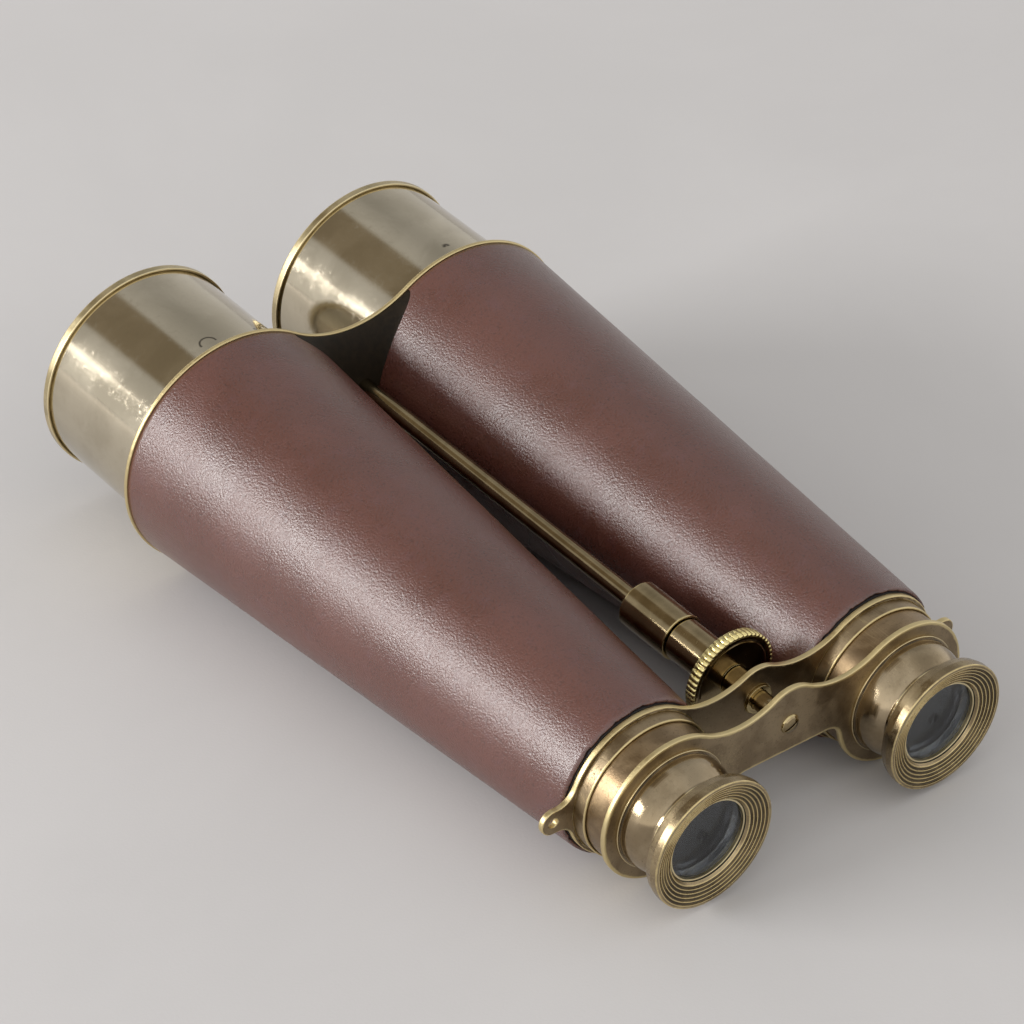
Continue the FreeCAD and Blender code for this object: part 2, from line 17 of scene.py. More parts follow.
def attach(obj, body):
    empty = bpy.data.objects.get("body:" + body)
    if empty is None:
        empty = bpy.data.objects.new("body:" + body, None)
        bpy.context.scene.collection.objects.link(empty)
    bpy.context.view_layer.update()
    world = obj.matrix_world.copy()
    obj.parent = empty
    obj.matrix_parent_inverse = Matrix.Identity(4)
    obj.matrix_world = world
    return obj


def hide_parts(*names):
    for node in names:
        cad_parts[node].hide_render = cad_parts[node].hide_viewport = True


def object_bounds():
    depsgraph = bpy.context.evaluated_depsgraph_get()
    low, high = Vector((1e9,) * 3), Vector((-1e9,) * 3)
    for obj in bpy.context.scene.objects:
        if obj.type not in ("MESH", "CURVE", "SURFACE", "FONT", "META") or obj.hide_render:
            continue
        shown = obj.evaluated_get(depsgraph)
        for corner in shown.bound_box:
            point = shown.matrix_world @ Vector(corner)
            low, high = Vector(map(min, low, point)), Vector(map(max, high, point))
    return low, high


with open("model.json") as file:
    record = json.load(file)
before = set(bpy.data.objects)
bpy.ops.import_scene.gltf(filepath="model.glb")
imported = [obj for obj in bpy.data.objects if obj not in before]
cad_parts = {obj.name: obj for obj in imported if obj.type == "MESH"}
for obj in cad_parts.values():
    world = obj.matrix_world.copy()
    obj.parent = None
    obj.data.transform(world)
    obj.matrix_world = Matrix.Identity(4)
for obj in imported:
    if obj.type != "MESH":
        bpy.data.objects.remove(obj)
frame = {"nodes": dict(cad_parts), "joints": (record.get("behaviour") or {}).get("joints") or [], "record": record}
cad_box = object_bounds()

# %% [markdown]
# The glass lies on a table, so its tapered barrels point slightly upwards. It is far easier to
# think in the maker's own frame: x across, y along the barrels from the eyecups, z up from the
# plane of the two optical axes, all in millimetres. The focusing joint knows where that frame is,
# because its axis runs along the barrels and its position is a known point on it.

# %% The maker's frame
MM = 0.001
EYE_X = 31.0
WHEEL_Y = 32.0
FOCUS_Z = 6.6
joints = {joint["name"]: joint for joint in frame["joints"]}
along = Vector(joints["focus_slide"]["axis"]).normalized()
upward = Vector((0.0, -along.z, along.y))
start_point = Vector(joints["focus_turn"]["pos_m"]) - (WHEEL_Y * along + FOCUS_Z * upward) * MM
BASIS = np.array([[1.0, 0.0, 0.0], list(along), list(upward)])
TILT = math.atan2(along.z, along.y)
SIDES = (("left", -EYE_X), ("right", EYE_X))
print("tilt", round(math.degrees(TILT), 2), "degrees, start", [round(v, 4) for v in start_point])


def place(points):
    """Points of the maker's frame, in millimetres, to the scene's metres."""
    return np.asarray(points, float).reshape(-1, 3) @ BASIS * MM + np.array(start_point)


def unplace(points):
    return (np.asarray(points, float).reshape(-1, 3) - np.array(start_point)) @ BASIS.T / MM


# %% [markdown]
# Finishes are built from nodes. Short helpers keep that readable: one adds a node and fills in or
# connects its sockets, others do sums and noise, and one starts a shader node group. A group holds
# an effect that several finishes share, such as edge wear, and puts out only masks.

# %% Helpers for nodes
def add(tree, kind, sockets=None, **settings):
    """A new node. Each socket gets either a plain value or another node's output."""
    made = tree.nodes.new(kind)
    for key, value in settings.items():
        setattr(made, key, value)
    for key, value in (sockets or {}).items():
        if isinstance(value, bpy.types.NodeSocket):
            tree.links.new(value, made.inputs[key])
        else:
            made.inputs[key].default_value = value
    return made


def out(tree, kind, sockets=None, **settings):
    """The first output of a new node."""
    return add(tree, kind, sockets, **settings).outputs[0]


def sum_up(tree, operation, first, second=0.0):
    return out(tree, "ShaderNodeMath", {0: first, 1: second}, operation=operation)


def times(tree, first, second):
    return sum_up(tree, "MULTIPLY", first, second)


def plus(tree, first, second):
    return sum_up(tree, "ADD", first, second)


def minus(tree, first, second):
    return sum_up(tree, "SUBTRACT", first, second)


def soft_noise(tree, spot, scale, detail=2.0, roughness=0.5, distortion=0.0):
    return add(tree, "ShaderNodeTexNoise", {
        "Vector": spot, "Scale": scale, "Detail": detail, "Roughness": roughness,
        "Distortion": distortion}).outputs["Fac"]


def between(tree, value, low, high, bottom=0.0, top=1.0):
    """The value's place between low and high, turned into a place between bottom and top."""
    sockets = {"Value": value, "From Min": low, "From Max": high, "To Min": bottom, "To Max": top}
    return out(tree, "ShaderNodeMapRange", sockets, interpolation_type="SMOOTHSTEP")


def mix(tree, mask, first, second):
    """The first colour where the mask is 0, the second where it is 1."""
    made = add(tree, "ShaderNodeMix", {0: mask, 6: first, 7: second}, data_type="RGBA")
    return made.outputs[2]


def paint(red, green, blue):
    """A colour as a painter's chart gives it, 0 to 255, turned into the linear one shaders use."""
    def linear(part):
        part = part / 255
        return part / 12.92 if part < 0.04045 else ((part + 0.055) / 1.055) ** 2.4
    return (linear(red), linear(green), linear(blue), 1.0)


def new_group(name, inputs, outputs):
    tree = bpy.data.node_groups.new(name, "ShaderNodeTree")
    for label, value in inputs.items():
        socket = tree.interface.new_socket(
            name=label, in_out="INPUT", socket_type="NodeSocketFloat")
        socket.default_value = value
    for label in outputs:
        tree.interface.new_socket(name=label, in_out="OUTPUT", socket_type="NodeSocketFloat")
    return tree, tree.nodes.new("NodeGroupInput").outputs, tree.nodes.new("NodeGroupOutput").inputs


def use_group(tree, group, **values):
    made = add(tree, "ShaderNodeGroup", node_tree=group)
    for label, value in values.items():
        made.inputs[label.replace("_", " ")].default_value = value
    return made.outputs


def new_finish(name):
    finish = bpy.data.materials.new(name)
    finish.use_nodes = True
    tree = finish.node_tree
    return finish, tree, tree.nodes["Principled BSDF"]


print("node helpers ready")

# %% [markdown]
# Edge wear: hands rub the patina off raised edges and leave dirt in corners. The pieces carry an
# attribute named wear, 1 on a raised edge and -1 in a corner, and this group breaks that smooth
# value up with noise, so that the bright metal shows in a ragged line instead of a painted stripe.

# %% Shared effect: edge wear
edge_wear, start, end = new_group(
    "edge wear", {"Size": 420.0, "Raggedness": 0.7, "Start": 0.3}, ("Bare", "Grime"))
carried = add(edge_wear, "ShaderNodeAttribute", attribute_name="wear").outputs["Fac"]
spot = add(edge_wear, "ShaderNodeTexCoord").outputs["Object"]
uneven = soft_noise(edge_wear, spot, start["Size"], 5.0, 0.6)
uneven = times(edge_wear, minus(edge_wear, uneven, 0.5), start["Raggedness"])
full = plus(edge_wear, start["Start"], 0.4)
raised = plus(edge_wear, carried, uneven)
hollow = minus(edge_wear, uneven, carried)
edge_wear.links.new(between(edge_wear, raised, start["Start"], full), end["Bare"])
edge_wear.links.new(between(edge_wear, hollow, start["Start"], full), end["Grime"])
print("edge wear:", len(edge_wear.nodes), "nodes")

# %% [markdown]
# Mottling: old bronze is never one colour. Soft cloud-like patches of two tones, at a size that
# each finish chooses, carry both the colour change and the change from shiny to dull.

# %% Shared effect: mottling
mottling, start, end = new_group(
    "mottling", {"Size": 90.0, "Low": 0.38, "High": 0.62}, ("Patches", "Specks"))
spot = add(mottling, "ShaderNodeTexCoord").outputs["Object"]
cloud = soft_noise(mottling, spot, start["Size"], 6.0, 0.58, 0.4)
speck = soft_noise(mottling, spot, times(mottling, start["Size"], 14.0), 3.0, 0.6)
mottling.links.new(between(mottling, cloud, start["Low"], start["High"]), end["Patches"])
mottling.links.new(between(mottling, speck, 0.52, 0.75), end["Specks"])
print("mottling:", len(mottling.nodes), "nodes")

# %% [markdown]
# Fine scratches: sliding a tube in and out draws hair-thin lines along it. Noise that is
# stretched along the barrels and cut off close to its middle value leaves thin broken lines, and
# a second slow noise makes them gather in some places and leaves others clean.

# %% Shared effect: fine scratches
scratches, start, end = new_group(
    "fine scratches", {"Size": 900.0, "Stretch": 0.04, "Width": 0.02}, ("Lines",))
spot = add(scratches, "ShaderNodeTexCoord").outputs["Object"]
stretch = out(scratches, "ShaderNodeCombineXYZ", {
    "X": 1.0, "Y": start["Stretch"], "Z": 1.0})
turned_spot = out(scratches, "ShaderNodeMapping", {
    "Vector": spot, "Rotation": (-TILT, 0.0, 0.0)})
drawn = out(scratches, "ShaderNodeVectorMath", {
    0: turned_spot, 1: stretch}, operation="MULTIPLY")
hair = soft_noise(scratches, drawn, start["Size"])
off_middle = sum_up(scratches, "ABSOLUTE", minus(scratches, hair, 0.5))
line = minus(scratches, 1.0, between(scratches, off_middle, 0.0, start["Width"]))
gather = soft_noise(scratches, spot, 60.0)
line = times(scratches, line, between(scratches, gather, 0.48, 0.66))
scratches.links.new(line, end["Lines"])
print("fine scratches:", len(scratches.nodes), "nodes")

# %% [markdown]
# Turning marks: a lathe leaves rings around every turned piece. The pieces carry the distance
# along their outline as an attribute named turning, so one-dimensional noise of that distance
# draws rings on a tube and on a flat face alike.

# %% Shared effect: turning marks
turning_marks, start, end = new_group("turning marks", {"Size": 6.0}, ("Rings",))
reach = add(turning_marks, "ShaderNodeAttribute", attribute_name="turning").outputs["Fac"]
rings = add(turning_marks, "ShaderNodeTexNoise", {
    "W": reach, "Scale": start["Size"], "Detail": 4.0, "Roughness": 0.7},
    noise_dimensions="1D").outputs["Fac"]
turning_marks.links.new(rings, end["Rings"])
print("turning marks:", len(turning_marks.nodes), "nodes")

# %% [markdown]
# Leather grain: fine goat leather has small rounded cells about a third of a millimetre wide with
# creases between them, and tone that drifts in clouds. The cells come from a Voronoi texture, and
# noise pushes its coordinates about so that the cells lose their straight sides.

# %% Shared effect: leather grain
grain, start, end = new_group(
    "leather grain", {"Size": 2300.0}, ("Height", "Creases", "Clouds", "Blotches"))
spot = add(grain, "ShaderNodeTexCoord").outputs["Object"]
push = add(grain, "ShaderNodeTexNoise", {
    "Vector": spot, "Scale": 2200.0, "Detail": 1.0}).outputs["Color"]
nudge = out(grain, "ShaderNodeVectorMath", {0: push, 3: 0.0002}, operation="SCALE")
moved = out(grain, "ShaderNodeVectorMath", {0: spot, 1: nudge}, operation="ADD")
cells = add(grain, "ShaderNodeTexVoronoi", {
    "Vector": moved, "Scale": start["Size"]}, feature="SMOOTH_F1").outputs["Distance"]
pores = soft_noise(grain, spot, 5200.0, 2.0, 0.65)
height = plus(grain, minus(grain, 1.0, cells), times(grain, pores, 0.7))
cloud = soft_noise(grain, spot, 34.0, 4.0, 0.6, 0.3)
blotch = soft_noise(grain, spot, 260.0, 4.0, 0.6)
grain.links.new(height, end["Height"])
grain.links.new(between(grain, cells, 0.45, 0.8), end["Creases"])
grain.links.new(between(grain, cloud, 0.35, 0.65), end["Clouds"])
grain.links.new(between(grain, blotch, 0.5, 0.72), end["Blotches"])
print("leather grain:", len(grain.nodes), "nodes")

# %% [markdown]
# The covering is dark red-brown leather, thin and stretched tight over the barrels. It is dull
# between the highlights and its grain breaks a highlight into tiny sparks, so the bump is strong
# and the roughness low. The cut edge at the small end is darker, from the attribute named cut.

# %% Finish: leather
leather, tree, shader = new_finish("red-brown leather")
skin = use_group(tree, grain, Size=2300.0)
tone = mix(tree, skin["Clouds"], paint(84, 47, 38), paint(92, 53, 44))
tone = mix(tree, times(tree, skin["Blotches"], 0.3), tone, paint(92, 60, 62))
tone = mix(tree, times(tree, skin["Creases"], 0.45), tone, paint(52, 26, 20))
cut = add(tree, "ShaderNodeAttribute", attribute_name="cut").outputs["Fac"]
tone = mix(tree, between(tree, cut, 0.2, 0.8), tone, paint(30, 18, 15))
tree.links.new(tone, shader.inputs["Base Color"])
dull = between(tree, skin["Clouds"], 0.0, 1.0, 0.24, 0.31)
tree.links.new(dull, shader.inputs["Roughness"])
shader.inputs["Specular IOR Level"].default_value = 1.0
bump = add(tree, "ShaderNodeBump", {"Height": skin["Height"], "Strength": 1.0, "Distance": 0.00008})
tree.links.new(bump.outputs[0], shader.inputs["Normal"])
print("finish:", leather.name)

# %% [markdown]
# All the metal is brass or bronze of different ages. They share one recipe: two tones of patina in
# patches, bare metal on worn edges, brown dirt in corners, scratches and turning marks. What
# differs is the colours, the polish and how far the wear has gone, so one function builds them.

# %% Recipe: aged metal
# Brown dirt for specks and corners; the same colour also paints the shade of a dent on a sunshade.
DIRT_AND_DENT_SHADE = paint(38, 29, 18)
BUMP_DEPTH = 0.0001


def aged_metal(name, deep, worn, bare, polish, dull, patch_size=110.0, wear_from=0.3, ragged=0.7,
               scratch=0.25, rings=0.00001, specks=0.25, pits=0.00001):
    """polish and dull are the roughness of the metal's shiniest and dullest patches."""
    finish, tree, shader = new_finish(name)
    patches = use_group(tree, mottling, Size=patch_size)
    edges = use_group(tree, edge_wear, Start=wear_from, Raggedness=ragged)
    hairs = use_group(tree, scratches)
    lathe_rings = use_group(tree, turning_marks)
    tone = mix(tree, patches["Patches"], deep, worn)
    tone = mix(tree, times(tree, patches["Specks"], specks), tone, DIRT_AND_DENT_SHADE)
    tone = mix(tree, times(tree, hairs["Lines"], scratch), tone, bare)
    tone = mix(tree, edges["Bare"], tone, bare)
    tone = mix(tree, times(tree, edges["Grime"], 0.85), tone, DIRT_AND_DENT_SHADE)
    lining = add(tree, "ShaderNodeAttribute", attribute_name="lining").outputs["Fac"]
    tree.links.new(mix(tree, lining, tone, paint(20, 19, 19)), shader.inputs["Base Color"])
    rough = between(tree, patches["Patches"], 0.0, 1.0, polish, dull)
    for mask, share in ((lining, 0.4), (edges["Grime"], 0.3), (patches["Specks"], 0.12)):
        rough = plus(tree, rough, times(tree, mask, share))
    tree.links.new(rough, shader.inputs["Roughness"])
    covered = sum_up(tree, "MAXIMUM", times(tree, edges["Grime"], 0.7), lining)
    tree.links.new(minus(tree, 1.0, covered), shader.inputs["Metallic"])
    relief = times(tree, lathe_rings["Rings"], rings / BUMP_DEPTH)
    for mask, share in ((patches["Specks"], pits / BUMP_DEPTH), (hairs["Lines"], 0.02)):
        relief = minus(tree, relief, times(tree, mask, share))
    bump = add(tree, "ShaderNodeBump", {"Height": relief, "Strength": 1.0, "Distance": BUMP_DEPTH})
    tree.links.new(bump.outputs[0], shader.inputs["Normal"])
    return finish, tree, shader


print("metal recipe ready")

# %% [markdown]
# The bridge plates and the end plate are the oldest looking metal: olive-brown bronze, dull on the
# faces and rubbed to yellow along every edge that a hand or a bag can reach. The eyecups are
# turned brass. Polish never reaches the bottom of their fine grooves, so those stay dark while the
# ridges between them shine. Each row gives a slot's deep patina, worn patina, bare metal, polish,
# dullness and whatever else differs.

# %% Finishes: bronzes and brasses
METALS = {
    "bridge_bronze": ("bridge bronze", (134, 117, 92), (157, 140, 113), (212, 194, 146), 0.32, 0.44, {
        "patch_size": 140.0, "wear_from": 0.35, "scratch": 0.3, "pits": 0.00002}),
    "draw_tube_bronze": ("draw tube bronze", (132, 112, 86), (152, 131, 102), (198, 178, 138), 0.28, 0.4,
        {"patch_size": 120.0, "scratch": 0.3, "rings": 0.000012}),
    "eyepiece_bronze": ("eyepiece bronze", (142, 126, 101), (164, 148, 122), (214, 198, 158), 0.1, 0.18, {
        "patch_size": 90.0, "scratch": 0.1, "rings": 0.000004, "specks": 0.15, "pits": 0.000003}),
    "eyecup_brass": ("eyecup brass", (142, 125, 97), (165, 148, 117), (222, 202, 150), 0.2, 0.32, {
        "patch_size": 150.0, "wear_from": 0.22, "ragged": 0.4, "scratch": 0.1, "rings": 0.000008}),
    "rim_brass": ("rim brass", (180, 165, 128), (200, 185, 148), (228, 213, 172), 0.3, 0.4, {
        "patch_size": 160.0, "wear_from": 0.35, "scratch": 0.15, "rings": 0.00001, "specks": 0.3}),
    "focus_brass": ("focusing gear brass", (144, 128, 97), (162, 145, 112), (198, 180, 134), 0.1, 0.17, {
        "patch_size": 170.0, "scratch": 0.08, "rings": 0.000003, "specks": 0.1, "pits": 0.000002}),
    "wheel_brass": ("knurled wheel brass", (150, 134, 86), (170, 152, 100), (236, 220, 156), 0.26, 0.38, {
        "patch_size": 170.0, "wear_from": 0.1, "ragged": 0.4, "scratch": 0.1}),
    "barrel_brass": ("barrel brass", (118, 98, 60), (140, 120, 78), (200, 178, 120), 0.35, 0.5, {})}
FINISHES = {"leather": leather}
for slot, (name, deep, worn, bare, polish, dullness, more) in METALS.items():
    FINISHES[slot], *_ = aged_metal(
        name, paint(*deep), paint(*worn), paint(*bare), polish, dullness, **more)
    print("finish:", name)

# %% [markdown]
# The sunshades are the brightest metal: pale polished brass that mirrors the room in long bands.
# Like the other tubes of the optical path they are blackened inside against stray light, from the
# attribute named lining. A small dark crescent on the left tube is painted shade: the shaded wall of
# a dent where the inner stop was staked from outside, drawn as colour with no dent in the surface. A
# small dark spot on each tube comes from the same ring-shaped mask, which makes them all.

# %% Shared effect: painted dent shade
# This mask paints shade: a dark half ring for the shaded wall of a dent, with no dent cut in the surface; a small
# radius with a wide ring gives a dark spot.
dent_shade, start, end = new_group(
    "dent_shade", {"Across": 0.0, "Along": 0.0, "Up": 0.0, "Radius": 0.0012, "Width": 0.0001}, ("Mark",))
where = out(dent_shade, "ShaderNodeCombineXYZ", {
    "X": start["Across"], "Y": start["Along"], "Z": start["Up"]})
spot = add(dent_shade, "ShaderNodeTexCoord").outputs["Object"]
shake = soft_noise(dent_shade, spot, 1500.0)
away = add(dent_shade, "ShaderNodeVectorMath", {0: spot, 1: where}, operation="DISTANCE").outputs["Value"]
off_ring = sum_up(dent_shade, "ABSOLUTE", minus(dent_shade, away, start["Radius"]))
wide = times(dent_shade, start["Width"], plus(dent_shade, shake, 0.5))
ring = minus(dent_shade, 1.0, between(dent_shade, off_ring, 0.0, wide))
from_centre = out(dent_shade, "ShaderNodeVectorMath", {0: spot, 1: where}, operation="SUBTRACT")
beyond = add(dent_shade, "ShaderNodeSeparateXYZ", {0: from_centre}).outputs["Y"]
beyond = between(dent_shade, beyond, -0.0004, 0.0)
dent_shade.links.new(times(dent_shade, ring, beyond), end["Mark"])
print("dint:", len(dent_shade.nodes), "nodes")

# %% Finish: sunshade brass
shade_brass, tree, shader = aged_metal(
    "sunshade brass", paint(186, 176, 155), paint(199, 189, 168), paint(228, 220, 198), 0.07, 0.13,
    patch_size=60.0, wear_from=0.4, scratch=0.1, rings=0.000003, specks=0.05, pits=0.0)
CRESCENT = ((-33.4, 167.6, 24.4), 1.9, 0.4)
LEFT_DARK_SPOT = ((-19.9, 169.0, 21.9), 0.35, 0.55)
RIGHT_DARK_SPOT = ((32.3, 168.6, 24.5), 0.5, 0.75)
# The crescent is painted shade, the dark wall of a dent drawn in colour; the two spots are small dark patches.
marks = 0.0
for centre, radius, width in (CRESCENT, LEFT_DARK_SPOT, RIGHT_DARK_SPOT):
    x, y, z = place(centre)[0]
    mark = use_group(tree, dent_shade, Across=x, Along=y, Up=z, Radius=radius * MM, Width=width * MM)["Mark"]
    marks = sum_up(tree, "MAXIMUM", mark, marks)
tone = shader.inputs["Base Color"].links[0].from_socket
tree.links.new(mix(tree, times(tree, marks, 0.85), tone, DIRT_AND_DENT_SHADE), shader.inputs["Base Color"])
print("finish:", shade_brass.name)

# %% [markdown]
# Glass needs no colour of its own: the dark barrel behind a lens makes it dark. A faint film of
# dust and finger grease on it changes only the roughness.

# %% Finish: lens glass
def clear_glass(name, tint, film):
    finish, tree, shader = new_finish(name)
    shader.inputs["Base Color"].default_value = tint
    shader.inputs["Transmission Weight"].default_value = 1.0
    shader.inputs["IOR"].default_value = 1.52
    patches = use_group(tree, mottling, Size=45.0, Low=0.3, High=0.7)
    rough = between(tree, patches["Patches"], 0.0, 1.0, film * 0.6, film)
    tree.links.new(rough, shader.inputs["Roughness"])
    return finish


lens_glass = clear_glass("objective glass", (0.94, 0.97, 0.98, 1.0), 0.04)
eye_glass = clear_glass("eye lens glass", (0.5, 0.56, 0.63, 1.0), 0.14)
print("finish:", lens_glass.name, "and", eye_glass.name)

# %% Finish: black lacquer, felt, and the saddle's painted shade
def flat_black(name, deep, light, size, rough, height):
    """A dull black with a fine tooth: lacquer inside the barrels, felt, and the saddle, painted dark as shade."""
    finish, tree, shader = new_finish(name)
    patches = use_group(tree, mottling, Size=size, Low=0.3, High=0.7)
    tree.links.new(mix(tree, patches["Patches"], deep, light), shader.inputs["Base Color"])
    rough = between(tree, patches["Specks"], 0.0, 1.0, rough - 0.1, rough + 0.1)
    tree.links.new(rough, shader.inputs["Roughness"])
    bump = out(tree, "ShaderNodeBump", {
        "Height": patches["Specks"], "Strength": 0.6, "Distance": height})
    tree.links.new(bump, shader.inputs["Normal"])
    return finish


# The saddle leather's near-black colour is painted shade: the dark of the valley between the barrels is put into its
# colour.
saddle_painted_shade = flat_black(
    "saddle leather painted dark as shade", paint(24, 18, 9), paint(34, 26, 15), 700.0, 0.62, 0.00008)
saddle_painted_shade.node_tree.nodes["Principled BSDF"].inputs["Specular IOR Level"].default_value = 0.15
black_inside = flat_black("black lacquer", paint(16, 15, 15), paint(30, 28, 27), 200.0, 0.6, 0.00004)
felt = flat_black("black felt", paint(18, 17, 18), paint(38, 36, 36), 900.0, 0.9, 0.0002)
print("finish:", black_inside.name, "and", felt.name)

# %% [markdown]
# Parts whose solid is already right, because they are hidden or plain, keep it and only get their
# finish. Which finish goes where is written in the parts record as a slot name.

# %% Finishes on the solid parts
FINISHES |= {
    "shade_brass": shade_brass, "eye_glass": eye_glass, "lens_glass": lens_glass,
    "black_inside": black_inside, "felt": felt}
SLOT_OF = {part["node"]: part["material_slot"] for part in frame["record"]["subparts"]}
for name, part in frame["nodes"].items():
    finish = FINISHES[SLOT_OF[name]]
    if name.endswith("barrel_tube"):
        finish = black_inside
    part.data.materials.clear()
    part.data.materials.append(finish)
print(len(SLOT_OF), "solid parts painted")

# %% [markdown]
# One helper turns points and faces into a finished piece: it moves them to the scene's metres,
# stores attributes such as wear, closes doubled points, points the faces outwards, hangs the piece
# on an empty named after the body it rides on, and hides the solid parts it stands for.

# %% Helper: a finished piece
def show(name, data):
    made = bpy.data.objects.new(name, data)
    bpy.context.scene.collection.objects.link(made)
    return made


def bands(rings, around, base=0, closed=False):
    """Faces between neighbouring rings of points, from the last ring to the first if closed."""
    faces = []
    for ring in range(rings if closed else rings - 1):
        low, high = base + ring * around, base + (ring + 1) % rings * around
        for i in range(around):
            j = (i + 1) % around
            faces.append((low + i, low + j, high + j, high + i))
    return faces


def piece(name, points, faces, body, slot, marks=None, stands_for=(), finish=None):
    mesh = bpy.data.meshes.new(name)
    mesh.from_pydata(place(points).tolist(), [], faces)
    for label, values in (marks or {}).items():
        kept = mesh.attributes.new(label, "FLOAT", "POINT").data
        kept.foreach_set("value", np.asarray(values, np.float32))
    shell = bmesh.new()
    shell.from_mesh(mesh)
    bmesh.ops.remove_doubles(shell, verts=shell.verts, dist=2e-7)
    bmesh.ops.recalc_face_normals(shell, faces=shell.faces)
    for face in shell.faces:
        face.smooth = True
    shell.to_mesh(mesh)
    shell.free()
    made = show(name, mesh)
    mesh.materials.append(finish or FINISHES[slot])
    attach(made, body)
    if stands_for:
        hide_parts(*stands_for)
    return made


print("piece helper ready")

# %% [markdown]
# Nearly everything here came off a lathe. A turned piece is given by its outline: corners as
# (radius, distance along), or (radius, distance, bend) where the corner's rounding differs, 0 for
# a point on a curve that must stay as it is. The helper rounds each corner, adds points close to
# it so that the flats stay flat, marks the wear, and spins the outline around its axis.

# %% Helper: rounded outlines
def soften(corners, bend, fade):
    """(radius, along, wear, distance) rows for a closed outline with rounded corners."""
    spots = np.array([corner[:2] for corner in corners], float)
    bends = [corner[2] if len(corner) > 2 else bend for corner in corners]
    following = np.roll(spots, -1, axis=0)
    area = np.sum(spots[:, 0] * following[:, 1] - following[:, 0] * spots[:, 1])
    turn_way = math.copysign(1.0, area)
    path = []
    signs = []
    for index, spot in enumerate(spots):
        back = spots[index - 1] - spot
        ahead = following[index] - spot
        back_length = np.hypot(*back)
        ahead_length = np.hypot(*ahead)
        back, ahead = back / back_length, ahead / ahead_length
        turn = math.atan2(-back[0] * ahead[1] + back[1] * ahead[0], -back @ ahead)
        strength = turn * turn_way / (math.pi / 2)
        cut = bends[index] * math.tan(min(abs(turn), 3.0) / 2)
        cut = min(cut, 0.45 * back_length, 0.45 * ahead_length)
        if cut < 1e-4:
            path.append(spot)
            signs.append(strength)
            continue
        steps = max(2, math.ceil(abs(turn) / math.radians(22)))
        for step in range(steps + 1):
            t = step / steps
            path.append((1 - t) ** 2 * (spot + back * cut) + 2 * t * (1 - t) * spot
                        + t * t * (spot + ahead * cut))
            signs.append(strength / (steps + 1))
    return add_support(np.array(path), np.array(signs), fade)


def add_support(path, signs, fade):
    """Extra points along long straight runs, and the wear that fades away from each corner."""
    filled = []
    corner_at = []
    reach = 0.0
    for index, spot in enumerate(path):
        ahead = path[(index + 1) % len(path)] - spot
        length = np.hypot(*ahead)
        corner_at.append(reach)
        near = [d for d in (0.1, 0.3, 0.7, 1.4) if d < length * 0.45]
        halfway = [length / 2] if length > 0.4 else []
        stops = [0.0] + near + halfway + [length - d for d in reversed(near)]
        filled += [(*(spot + ahead * stop / length), reach + stop) for stop in stops]
        reach += length
    rows = np.array(filled)
    apart = np.abs(rows[:, 2][:, None] - np.array(corner_at)[None, :])
    apart = np.minimum(apart, reach - apart)
    wear = np.clip((np.exp(-apart / fade) * signs[None, :]).sum(1), -1, 1)
    return np.column_stack([rows[:, 0], rows[:, 1], wear, rows[:, 2]])


def bow(first, middle, last, steps):
    """Points of the arc through three (radius, along) points, without its last point."""
    a, b, c = (complex(*spot[:2]) for spot in (first, middle, last))
    w = (c - a) / (b - a)
    centre = (b - a) * (w - abs(w) ** 2) / (2j * w.imag) + a
    half, sweep = (cmath.phase((spot - centre) / (a - centre)) for spot in (b, c))
    if sweep * half < 0:
        sweep -= math.copysign(math.tau, sweep)
    angles = [sweep * k / steps for k in range(steps)]
    spots = [centre + (a - centre) * complex(math.cos(angle), math.sin(angle)) for angle in angles]
    return [(spot.real, spot.imag, 0) for spot in spots]


print("outline helpers ready")

# %% Helper: turned pieces
def turned(name, corners, body, slot, x=0.0, z=0.0, bend=0.12, fade=0.4, segments=160,
           stands_for=None, dents=0.0, lining_r=0.0):
    rows = soften(corners, bend, fade)
    angles = np.linspace(0, math.tau, segments, endpoint=False)
    radius, angle = np.meshgrid(rows[:, 0], angles)
    reach = np.tile(rows[:, 1], (segments, 1))
    if dents:
        for i in range(segments):
            for j in range(len(rows)):
                spot = Vector((
                    math.cos(angles[i]) * 1.3, math.sin(angles[i]) * 1.3, rows[j, 1] * 0.05 + x))
                radius[i, j] += dents * (noise.noise(spot) - 0.3)
    points = np.stack([x + radius * np.cos(angle), reach, z + radius * np.sin(angle)], -1).reshape(-1, 3)
    faces = bands(segments, len(rows), closed=True)
    marks = {"wear": np.tile(rows[:, 2], segments), "turning": np.tile(rows[:, 3], segments)}
    marks["lining"] = np.tile((rows[:, 0] < lining_r).astype(float), segments)
    made = piece(name, points, faces, body, slot, marks, stands_for or (name,))
    print(name, len(made.data.polygons), "faces")
    return made


# %% [markdown]
# The sunshade is a tube that slides over the objective cell. Its wall is thin enough to be a
# little out of round after years of use, so the helper adds dents of a hundredth or two of a
# millimetre: too small to see as shape, but they make the long reflections waver.

# %% Sunshade tubes
for side, x in SIDES:
    turned(side + "_shade_tube", [
        (23.75, 170.0, 0), (23.75, 156.0), (24.55, 156.0), (24.55, 165.0, 0), (24.55, 175.0, 0),
        (24.55, 185.0, 0), (24.55, 197.5, 0.05), (23.75, 197.5, 0.05), (23.75, 185.0, 0)],
        side + "_sunshade", "shade_brass", x, segments=192, dents=0.02, lining_r=23.9)

# %% [markdown]
# A turned rim is soldered around the mouth of each sunshade. The fine groove where it meets the
# tube catches dirt and draws the dark line that separates the two.

